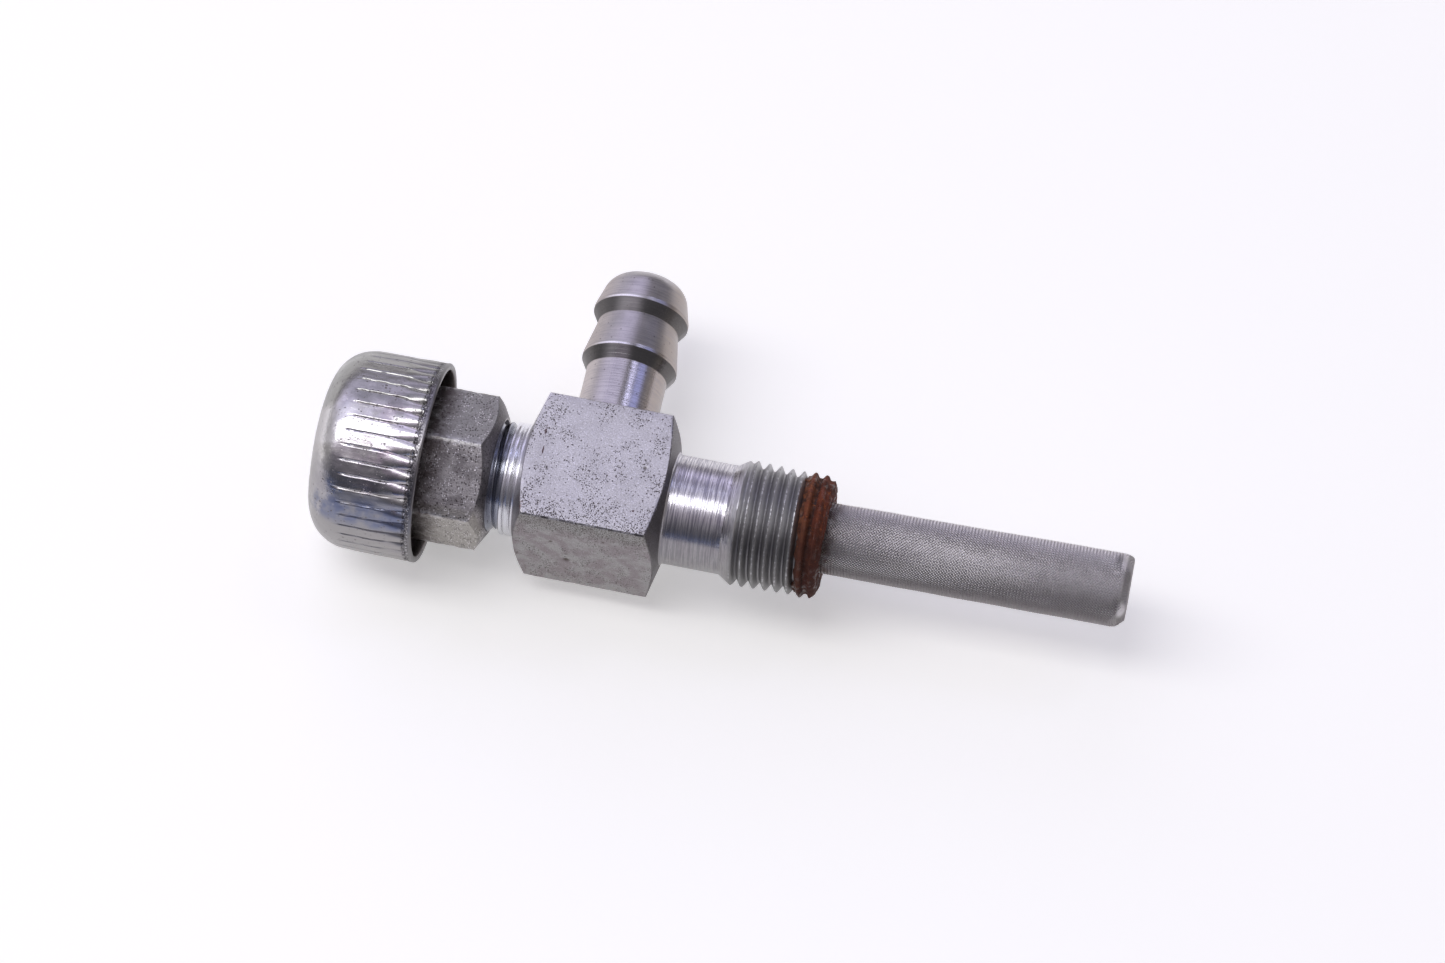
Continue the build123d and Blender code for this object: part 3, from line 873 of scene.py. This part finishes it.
def body_paint():
    """Dull plate with fine pits on the square, and turning lines on what is round; painted shade on the face
    towards the camera, on the face towards the inlet, on the low side of the round parts, in the thread's
    roots and by the nut, and a painted highlight on the neck.
    """
    paint = Paint("dull_plate", (0.52, 0.5, 0.54), 1.0, 0.42)
    x, y, z = paint.axes()
    radius = paint.radius()
    spigot = paint.step(x, BLOCK_RIGHT_X - 0.07, BLOCK_RIGHT_X)
    neck = paint.step(x, BLOCK_LEFT_X - 0.07, BLOCK_LEFT_X + 0.05, 1.0, 0.0)
    turned = paint.most(spigot, neck)
    square = paint.less(1.0, turned)

    clouds = paint.noise(2.4, 4)
    grain = paint.noise(0.12, 3, 0.75)
    paint.clouded(clouds, (0.555, 0.54, 0.555), (0.61, 0.595, 0.615))
    # Painted shade: the face towards the camera is laid darker, with brownish clouds in it.
    shaded_front_tone = paint.blend(paint.patches(1.4, 0.4, 0.6, 4), (0.31, 0.3, 0.3), (0.24, 0.21, 0.22))
    below_top = paint.step(z, HALF_SQUARE - 0.05, HALF_SQUARE - 0.25)
    paint.lay(shaded_front_tone, paint.step(y, -3.1, -4.1), below_top)
    # Painted shade: the square's face towards the inlet, past the fillet, is laid nearly black.
    step_back = paint.times(paint.less(radius, SPIGOT_RADIUS), math.tan(math.radians(INLET_FACE_ANGLE)))
    shaded_right_face = paint.step(paint.plus(x, step_back), BLOCK_RIGHT_X - 0.1, BLOCK_RIGHT_X - 0.03)
    past_fillet = paint.step(radius, SPIGOT_RADIUS + 0.05, SPIGOT_RADIUS + 0.2)
    left_of_spigot = paint.step(x, BLOCK_RIGHT_X + 0.25, BLOCK_RIGHT_X + 0.05)
    paint.lay((0.13, 0.12, 0.125), shaded_right_face, past_fillet, left_of_spigot)
    upward = paint.step(z, HALF_SQUARE - 0.25, HALF_SQUARE - 0.05, 0.3, 1.0)
    paint.lay((0.92, 0.9, 0.98), paint.step(grain, 0.52, 0.68), upward, 0.6)
    paint.lay((0.28, 0.265, 0.27), paint.step(grain, 0.48, 0.32), 0.35)

    # The long edge that faces the camera, where Z - Y is greatest
    across, edge = paint.maths("ABSOLUTE", paint.less(z, y)), 2 * HALF_SQUARE
    near_edge = paint.step(across, edge - 2.9, edge + 0.1)
    below_edge = paint.times(paint.step(z, 2.6, 5.0), paint.step(y, 0.15 - HALF_SQUARE, 0.05 - HALF_SQUARE))
    paint.lay((0.285, 0.285, 0.275), below_edge, 0.6)
    crowded = paint.patches(1.5, 0.42, 0.66)
    share = paint.plus(paint.times(crowded, 0.42), paint.times(near_edge, 0.45), paint.times(below_edge, 0.7))
    large_pits = paint.spots(0.18, 0.4, paint.times(share, 0.8))
    small_pits = paint.spots(0.11, 0.45, paint.times(share, 1.1))
    pits = paint.times(paint.most(large_pits, small_pits), square)
    paint.lay((0.07, 0.055, 0.05), pits, 0.9)
    for place, reach, _ in DENTS:
        paint.lay((0.06, 0.045, 0.03), paint.mark(place, (reach * 0.9,) * 3, 0.3), 0.75)
    for place, reach in BROKEN_PLATE:
        paint.lay((0.09, 0.045, 0.045), paint.mark(place, reach, 0.6), paint.patches(0.2, 0.34, 0.44, 2), 0.9)
    paint.lay((0.16, 0.06, 0.035), paint.mark(*STAIN, 0.2), paint.patches(0.3, 0.38, 0.6), 0.7)
    worn = paint.step(radius, CORNER_RADIUS - 0.064, CORNER_RADIUS - 0.004)
    paint.lay((0.8, 0.78, 0.84), worn, paint.patches(0.5, 0.4, 0.6), 0.3)
    edge_line = paint.step(across, edge - 0.17, edge - 0.13)
    paint.lay((0.05, 0.045, 0.045), edge_line, paint.patches(0.8, 0.6, 0.45), square, 0.85)

    below = paint.below_crests(x)
    thread = paint.step(x, THREAD_START_X + 0.2, THREAD_START_X + 1.2)
    paint.lay((0.43, 0.43, 0.425), thread, 0.75)
    # Painted shade: the thread is laid darker on its side towards the camera and in its roots.
    paint.lay((0.19, 0.185, 0.185), thread, paint.step(y, -1.8, -4.0, 0.0, 0.7))
    paint.lay((0.21, 0.205, 0.21), thread, paint.step(below, 0.2, 0.55), 0.6)
    tip = paint.times(thread, paint.step(below, 0.08, 0.03))
    chips = paint.noise(0.3, 3, 0.7)
    paint.lay((0.2, 0.2, 0.2), tip, paint.step(chips, 0.56, 0.46), 0.6)
    paint.lay((0.8, 0.79, 0.82), tip, paint.step(chips, 0.52, 0.62), 0.4)

    lines = paint.step(paint.streaks(0.13, 3.5, 3.5, 3, 0.75), 0.4, 0.6)
    lines = paint.times(lines, paint.vary(neck, 1.0, 0.45))
    tone = paint.blend(lines, (0.78, 0.76, 0.78), (0.31, 0.3, 0.355))
    # Painted shade on the low side of the spigot, towards the camera.
    tone = paint.blend(paint.step(y, -2.5, -3.8, 0.0, 0.75), tone, (0.16, 0.155, 0.16))
    # Painted highlight: the neck is laid a pale bluish white.
    tone = paint.blend(paint.times(neck, 0.6), tone, (0.92, 0.94, 1.0))
    # Painted shade: a dark blue band where the neck meets the nut.
    near_nut = paint.step(x, SHOULDER_X + 0.04, SHOULDER_X - 0.04)
    tone = paint.blend(paint.times(near_nut, 0.8), tone, (0.1, 0.12, 0.18))
    plain_turned = paint.times(turned, paint.less(1.0, thread))
    paint.lay(tone, plain_turned, 0.8)

    paint.bump(paint.times(grain, square), 0.02)
    paint.bump(paint.less(1.0, pits), 0.03)
    paint.bump(paint.times(paint.streaks(0.11, 6, 6, 3, 0.7), plain_turned), 0.03)
    paint.bump(paint.times(paint.noise(0.2, 4, 0.7), thread), 0.03)
    roughness = paint.plus(paint.vary(turned, 0.44, 0.21), paint.times(thread, 0.22))
    return paint.finish(paint.plus(roughness, paint.vary(clouds, -0.05, 0.05)))


def barb_paint():
    """Turned and plated steel, with lines round the barb's axis, painted shade behind its shoulders, a
    painted highlight along their edges, a painted beige reflection on its left and painted shade on its
    right.
    """
    paint = Paint("turned_plate", (0.5, 0.48, 0.5), 1.0, 0.3)
    x, y, _ = paint.axes()
    side = paint.less(x, PORT_X)
    clouds = paint.noise(2.0, 3)
    paint.clouded(clouds, (0.48, 0.46, 0.46), (0.56, 0.535, 0.54))
    first_land = BARB_LANDS[0]
    paint.lay((0.68, 0.64, 0.66), paint.step(y, first_land - 0.6, first_land - 1.2, 0.0, 0.6))
    # Painted reflection: a beige tint on the barb's left side.
    paint.lay((0.52, 0.44, 0.39), paint.step(side, -1.4, -3.3), 0.55)
    # Painted shade on the barb's right side.
    paint.lay((0.36, 0.305, 0.26), paint.step(side, 1.6, 2.9), 0.8)
    lines = paint.step(paint.streaks(3, 0.12, 3, 3, 0.75), 0.44, 0.62)
    paint.lay((0.25, 0.24, 0.27), lines, 0.35)
    for land in BARB_LANDS:
        cone = land - BARB_CONE
        # Painted shade in the hollow behind each shoulder, strongest to the left.
        back = paint.band(y, cone, cone + 0.05, land - 0.03, land + 0.03)
        gap = paint.band(side, -2.3, -1.2, -0.4, 0.6)
        paint.lay((0.09, 0.09, 0.088), back, paint.vary(gap, 0.85, 0.45))
        # Painted highlight along the edge of each shoulder's land, on the left.
        edge = paint.band(y, land, land + 0.02, land + 0.12, land + 0.22)
        paint.lay((1.0, 0.97, 1.0), edge, paint.band(side, -3.2, -1.9, -0.4, 0.5))
    grain = paint.noise(0.12, 3, 0.7)
    paint.lay((0.3, 0.28, 0.28), paint.step(grain, 0.5, 0.3), 0.3)
    paint.lay((0.14, 0.12, 0.12), paint.spots(0.3, 0.3, 0.12), 0.6)
    paint.bump(paint.streaks(9, 0.06, 9, 2), 0.008)
    paint.bump(paint.streaks(12, 0.3, 12, 2), 0.012)
    paint.bump(grain, 0.004)
    on_head = paint.step(y, first_land - 0.1, first_land + 0.4, 0.0, 0.12)
    to_left = paint.step(side, -0.5, -1.5, 0.0, 0.2)
    return paint.finish(paint.plus(paint.vary(clouds, 0.15, 0.23), on_head, to_left))


def nut_paint():
    """Dull plate, speckled, scratched, and worn bright along its edges, with painted light and shade on its
    faces, a painted shadow of the cap and painted shade on its chamfer.
    """
    paint = Paint("scratched_plate", (0.45, 0.43, 0.44), 1.0, 0.4)
    x, y, z = paint.axes()
    radius = paint.radius()
    clouds = paint.noise(1.6, 4)
    grain = paint.noise(0.13, 3, 0.75)
    paint.clouded(clouds, (0.36, 0.335, 0.34), (0.6, 0.57, 0.575))
    upward, half = math.radians(NUT_TURN + 30), NUT_WIDTH / 2
    height = paint.plus(paint.times(y, math.cos(upward)), paint.times(z, math.sin(upward)))
    # Painted light and shade: the upper face is laid a flat grey and the face towards the camera a flat beige
    # grey, as the light falls on them.
    paint.lay((0.37, 0.37, 0.35), paint.step(height, half - 0.3, half - 0.15), 0.75)
    paint.lay((0.38, 0.36, 0.33), paint.step(y, -4.9, -5.3), 0.8)
    paint.lay((0.07, 0.065, 0.06), paint.step(grain, 0.5, 0.3), 0.6)
    flecks = paint.times(paint.spots(0.17, 0.42, 0.5), paint.patches(1.0, 0.42, 0.55))
    paint.lay((0.95, 0.92, 0.95), flecks, 0.9)
    paint.lay((0.05, 0.04, 0.04), paint.spots(0.2, 0.45, 0.7), paint.patches(0.9, 0.62, 0.45), 0.8)
    # Painted shadow of the cap: dark brown patches on the nut's end towards it.
    cap_shadow = paint.step(x, nut_high.x - 2.85, nut_high.x - 5.05)
    paint.lay((0.06, 0.042, 0.04), cap_shadow, paint.patches(0.8, 0.2, 0.6, 4), 0.85)
    paint.lay((0.62, 0.61, 0.61), paint.step(radius, *NUT_WORN_RADIUS), paint.patches(0.5, 0.4, 0.6), 0.5)
    # Painted shade on the low part of the chamfer towards the neck.
    slope = math.tan(math.radians(NUT_CHAMFER_ANGLE))
    foot = nut_high.x + NUT_FACE_RADIUS * slope
    chamfer = paint.step(paint.plus(x, paint.times(radius, slope)), foot - 0.08, foot - 0.02)
    paint.lay((0.085, 0.08, 0.085), chamfer, paint.step(y, -5.2, -4.2), 0.75)
    paint.bump(grain, 0.022)
    paint.bump(paint.less(1.0, flecks), 0.02)
    paint.bump(paint.streaks(0.9, 0.07, 0.07, 2), 0.012)
    return paint.finish(paint.vary(clouds, 0.32, 0.5))


def cap_paint():
    """Bright plate, worn and pitted, with painted highlight, painted shade and a painted blue reflection in
    soft bands that follow the room, and a dirty rim.
    """
    paint = Paint("bright_plate", (0.6, 0.58, 0.6), 1.0, 0.2)
    x, y, z = paint.axes()
    radius = paint.radius()
    grain = paint.noise(0.14, 3, 0.75)
    paint.clouded(paint.noise(2.2, 4), (0.53, 0.515, 0.5), (0.68, 0.66, 0.645))
    to_rim = paint.step(x, CAP_END_X + 3.12, CAP_END_X + 6.12)
    paint.lay((0.52, 0.4, 0.5), to_rim, paint.patches(1.1, 0.42, 0.6), 0.4)

    # Painted highlight and painted shade in bands along the skirt, with a wandering edge
    height = paint.plus(y, paint.times(paint.less(paint.noise(2.0, 4), 0.5), 5.0))
    side = paint.step(radius, 3.5, 6.8)
    # Painted highlight: a pale band where the lamp is reflected.
    paint.lay((0.86, 0.84, 0.86), paint.band(height, -3.8, -2.8, -1.0, 0.4), side, 0.6)
    # Painted shade: a dark band below the highlight.
    paint.lay((0.17, 0.16, 0.2), paint.step(height, -3.6, -4.8), side, 0.5)
    # Painted shade on the corner of the domed end.
    corner = paint.step(x, CAP_END_X + 2.52, CAP_END_X + 0.92)
    paint.lay((0.3, 0.295, 0.285), corner, paint.step(height, -1.0, 1.5), side, 0.7)
    # Painted shade on the domed end.
    end = paint.step(x, CAP_END_X + 1.52, CAP_END_X + 0.42)
    paint.lay((0.36, 0.35, 0.34), end, 0.7)
    # Painted shade on the far side of the skirt.
    paint.lay((0.29, 0.29, 0.275), paint.step(height, -0.4, 2.0), side, 0.85)
    # Painted shade on the near side of the skirt, towards the camera.
    near_side = paint.times(paint.step(height, -5.8, -6.8), side)
    paint.lay((0.33, 0.32, 0.315), near_side, 0.85)
    # Painted reflection: a blue patch on the near side.
    blue_reflection = paint.times(near_side, paint.band(z, 1.6, 2.8, 4.2, 5.0))
    paint.lay((0.12, 0.15, 0.27), blue_reflection, paint.patches(1.3, 0.2, 0.65), 0.75)
    pits = paint.most(paint.spots(0.22, 0.3, 0.22), paint.spots(0.5, 0.22, 0.12))
    paint.lay((0.12, 0.1, 0.1), pits, 0.7)

    # The rolled rim, with crumbs and dirt where the grooves run out, and the inside
    inner = CAP_RIM_RADIUS - CAP_WALL
    rim = paint.step(x, CAP_RIM_X - 0.68, CAP_RIM_X - 0.5)
    rim = paint.times(rim, paint.step(radius, inner - 0.008, inner + 0.092))
    paint.lay((0.14, 0.135, 0.14), rim, 0.75)
    crumbs = paint.band(x, CAP_RIM_X - 0.5, CAP_RIM_X - 0.42, CAP_RIM_X - 0.28, CAP_RIM_X - 0.18)
    paint.lay((0.85, 0.84, 0.86), crumbs, paint.patches(0.16, 0.52, 0.6, 3, 0.7), 0.7)
    ragged = paint.band(x, CAP_RIM_X - 0.88, CAP_RIM_X - 0.68, CAP_RIM_X - 0.33, CAP_RIM_X - 0.13)
    paint.lay((0.05, 0.045, 0.05), ragged, paint.step(grain, 0.58, 0.45), 0.85)
    inside = paint.step(radius, inner + 0.072, inner + 0.012)
    inside = paint.times(inside, paint.step(x, CAP_END_X + 4.32, CAP_END_X + 4.52))
    paint.lay((0.17, 0.14, 0.13), inside, 0.75)

    far_end = paint.times(paint.step(height, 3.5, 6.0), side)
    dull = paint.times(paint.most(near_side, far_end, end, inside), 0.36)
    plain = paint.vary(paint.patches(0.8, 0.35, 0.65, 4, 0.65), 0.15, 0.27)
    paint.bump(paint.less(1.0, pits), 0.03)
    paint.bump(grain, 0.006)
    paint.bump(paint.noise(0.5, 4, 0.6), 0.012)
    paint.bump(paint.streaks(9, 0.12, 0.12, 2), 0.004)
    return paint.finish(paint.most(plain, dull, paint.times(rim, 0.34)))


def wire_paint():
    """Bare wire of the strainer, with painted light making it pale on its far side and painted shade on its
    near side, painted highlights on its turned-over bits, and browned with rust and painted shade where it
    leaves the rust.
    """
    paint = Paint("bare_wire", (0.5, 0.47, 0.49), 1.0, 0.34)
    x, y, _ = paint.axes()
    clouds = paint.noise(0.9, 4, 0.65)
    paint.colour = paint.blend(paint.step(clouds, 0.3, 0.7), (0.58, 0.55, 0.55), (0.72, 0.685, 0.69))
    paint.lay((0.35, 0.33, 0.33), paint.patches(0.25, 0.5, 0.3, 2), 0.4)
    # Painted light on the far side of the tube, and painted shade on its near side.
    paint.lay((0.95, 0.92, 0.92), paint.step(y, 0.6, 2.6, 0.0, 0.85))
    paint.lay((0.24, 0.225, 0.225), paint.step(y, -0.8, -2.6, 0.0, 0.75))
    paint.lay((0.25, 0.235, 0.235), paint.step(x, 23.95, 24.15), 0.65)
    hollows = paint.most(*[paint.mark(place, reach, 0.0) for place, reach in FOLD_HOLLOWS])
    paint.lay((0.2, 0.19, 0.19), hollows, 0.6)
    # Painted highlights on the turned-over bits of cloth.
    for place, reach in LIT_EARS:
        paint.lay((0.85, 0.82, 0.83), paint.mark(place, reach, 0.4))
    # Rust brown at the tube's root, darkened there further as painted shade.
    paint.lay((0.12, 0.07, 0.05), paint.step(x, 1.6, 0.1), paint.patches(0.6, 0.3, 0.6), 0.8)
    return paint.finish(paint.vary(clouds, 0.28, 0.42))


def rust_paint():
    """Red-brown rust and sealant with orange flecks and glossy spots, and painted shade on its side towards
    the camera.
    """
    paint = Paint("rust_and_sealant", (0.13, 0.03, 0.012), 0.0, 0.45)
    x, y, _ = paint.axes()
    clouds = paint.patches(1.1, 0.3, 0.65, 5, 0.65)
    paint.colour = paint.blend(clouds, (0.055, 0.016, 0.009), (0.15, 0.036, 0.016))
    hollow = paint.step(paint.below_crests(x), 0.06, 0.26)
    paint.lay((0.02, 0.008, 0.006), hollow, paint.step(x, -0.75, -0.95), 0.9)
    paint.lay((0.21, 0.075, 0.032), paint.step(x, -0.9, -1.2), paint.patches(0.5, 0.3, 0.6, 4), 0.6)
    paint.lay((0.42, 0.12, 0.025), paint.patches(0.25, 0.57, 0.7, 4, 0.7), 0.6)
    # Painted shade: darker on the side towards the camera.
    paint.lay((0.045, 0.014, 0.009), paint.step(y, -0.6, -3.2, 0.0, 0.72))
    paint.feed(paint.shader.inputs["Specular IOR Level"], 0.3)
    paint.bump(paint.noise(0.25, 5, 0.7), 0.07)
    return paint.finish(paint.step(paint.noise(0.6, 3), 0.34, 0.52, 0.25, 0.85))


def plain_paint(name, colour, metallic, roughness, size):
    """A quiet finish for what is inside: a little colour change and fine grain."""
    paint = Paint(name, colour, metallic, roughness)
    darker = tuple(part * 0.75 for part in colour)
    paint.colour = paint.blend(paint.patches(size, 0.3, 0.7, 4), darker, colour)
    paint.bump(paint.noise(size / 4, 3), 0.01)
    return paint.finish()


def cover(piece, material):
    """Gives a piece one material all over."""
    piece.data.materials.clear()
    piece.data.materials.append(material)


def dress_node(node, material):
    """Gives a CAD node a better material."""
    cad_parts[node].material_slots[0].material = material


FLOOR_COLOUR = (0.93, 0.92, 0.88)
FLOOR_LIFT = 0.33
FLOOR_HALF = 2500
FLOOR_DROP = 0.01


def make_floor():
    """A plain pale floor under the lowest point of the part, a touch brighter to the camera."""
    z = cad_low.z / MM - FLOOR_DROP
    corners = [(x * FLOOR_HALF, y * FLOOR_HALF, z) for x, y in ((-1, -1), (1, -1), (1, 1), (-1, 1))]
    floor = new_mesh("floor", corners, [[0, 1, 2, 3]])
    paint = Paint("pale_floor", FLOOR_COLOUR, 0.0, 0.9)
    path = paint.node("ShaderNodeLightPath").outputs
    seen = paint.most(path["Is Camera Ray"], path["Is Glossy Ray"], path["Is Transmission Ray"])
    paint.feed(paint.shader.inputs["Emission Color"], (1.0, 1.0, 1.0))
    paint.feed(paint.shader.inputs["Emission Strength"], paint.times(seen, FLOOR_LIFT))
    paint.feed(paint.shader.inputs["Specular IOR Level"], 0.0)
    cover(floor, paint.material)


def make_light(name, place, size, radiance):
    """A rectangular soft light that shines straight down, in millimetres, of the given brightness."""
    lamp = bpy.data.lights.new(name, "AREA")
    lamp.shape = "RECTANGLE"
    lamp.size, lamp.size_y = size[0] * MM, size[1] * MM
    lamp.energy = radiance * math.pi * lamp.size * lamp.size_y
    add_object(name, lamp).location = Vector(place) * MM


# Colour of the room round the main axis, by angle from +Y over the top to -Y
ROOM = (
    (0, (0.55, 0.52, 0.56)),
    (11, (0.40, 0.38, 0.44)),
    (31, (1.12, 1.06, 1.42)),
    (49, (0.56, 0.54, 0.72)),
    (66, (0.76, 0.74, 0.95)),
    (84, (0.92, 0.90, 1.10)),
    (108, (0.85, 0.80, 0.92)),
    (123, (0.42, 0.38, 0.45)),
    (138, (0.24, 0.23, 0.26)),
    (153, (0.12, 0.12, 0.14)),
    (166, (0.10, 0.11, 0.15)),
    (176, (0.24, 0.31, 0.58)),
)
# What it turns to beyond a share of the way along +X or -X: side, from, to, colour
ROOM_SIDES = (
    (-1, 0.70, 0.98, (0.45, 0.44, 0.46)),
    (1, -0.08, 0.07, (0.22, 0.21, 0.23)),
    (1, 0.80, 0.95, (0.50, 0.46, 0.44)),
)
# Bluish windows on the right: direction, cosine of their soft edge and of their inside, colour
WINDOWS = (
    ((0.32, 0.44, 0.838), 0.991, 0.998, (2.00, 2.05, 2.90)),
    ((0.62, 0.44, 0.65), 0.970, 0.990, (0.52, 0.56, 1.00)),
)


def make_world():
    """A room that is pale overhead and dark behind the camera, with soft bands between."""
    world = bpy.data.worlds.new("room")
    bpy.context.scene.world = world
    world.use_nodes = True
    room = Nodes(world.node_tree, "Generated")
    split = room.node("ShaderNodeSeparateXYZ", Vector=room.place).outputs
    angle = room.maths("ARCTAN2", split["Z"], split["Y"])
    ramp = room.node("ShaderNodeValToRGB")
    room.feed(ramp.inputs[0], room.maths("DIVIDE", angle, math.pi))
    ramp.color_ramp.interpolation = "EASE"
    stops = ramp.color_ramp.elements
    while len(stops) < len(ROOM):
        stops.new(0.5)
    for stop, (degrees, colour) in zip(stops, ROOM):
        stop.position = degrees / 180
        stop.color = (*colour, 1)
    colour = ramp.outputs["Color"]
    for side, start, full, tone in ROOM_SIDES:
        colour = room.blend(room.step(split["X"], side * start, side * full), colour, tone)
    for place, edge, inside, tone in WINDOWS:
        near = room.vector("DOT_PRODUCT", room.place, Vector(place).normalized())
        colour = room.blend(room.step(near, edge, inside), colour, tone)
    room.feed(world.node_tree.nodes["Background"].inputs["Color"], colour)


def make_camera():
    """The photograph's camera."""
    azimuth, elevation = math.radians(CAMERA_AZIMUTH), math.radians(CAMERA_ELEVATION)
    right = Vector((math.cos(azimuth), math.sin(azimuth), 0))
    level = math.cos(elevation)
    back = Vector((math.sin(azimuth) * level, -math.cos(azimuth) * level, math.sin(elevation)))
    up = back.cross(right)
    data = bpy.data.cameras.new("camera")
    data.sensor_width = SENSOR_WIDTH
    data.lens = FOCAL_PIXELS / PHOTO_WIDTH * SENSOR_WIDTH
    data.clip_start, data.clip_end = CAMERA_CLIP
    camera = add_object("camera", data)
    place = Vector((PORT_X, 0, 0)) + back * CAMERA_DISTANCE + right * CAMERA_RIGHT + up * CAMERA_UP
    camera.matrix_world = Matrix.Translation(place * MM) @ Matrix((right, up, back)).transposed().to_4x4()
    bpy.context.scene.camera = camera


make_camera()
make_floor()
make_world()
middle = (cad_low + cad_high) / 2 / MM
make_light("overhead", (middle.x - 330, -42, 500), (700, 165), radiance=3.3)
bpy.context.scene.view_settings.view_transform = "Standard"

cover(make_body(), body_paint())
cover(make_nut(), nut_paint())
cover(make_rust(), rust_paint())
cover(make_cap(), cap_paint())
bare_wire = wire_paint()
for wires in make_strainer():
    cover(wires, bare_wire)
dress_node("hose_barb", barb_paint())
dress_node("knob_hub", plain_paint("turned_hub", (0.30, 0.28, 0.27), 1.0, 0.4, 1.0))
dress_node("spindle", plain_paint("turned_spindle", (0.5, 0.49, 0.48), 1.0, 0.35, 1.0))
for node, brass in (("strainer_ring", "ring_brass"), ("packing_washer", "washer_brass")):
    dress_node(node, plain_paint(brass, (0.6, 0.45, 0.22), 1.0, 0.35, 1.0))
packing = plain_paint("graphite_packing", (0.05, 0.05, 0.055), 0.0, 0.6, 0.5)
for node in ("packing_ring_1", "packing_ring_2", "packing_ring_3"):
    dress_node(node, packing)
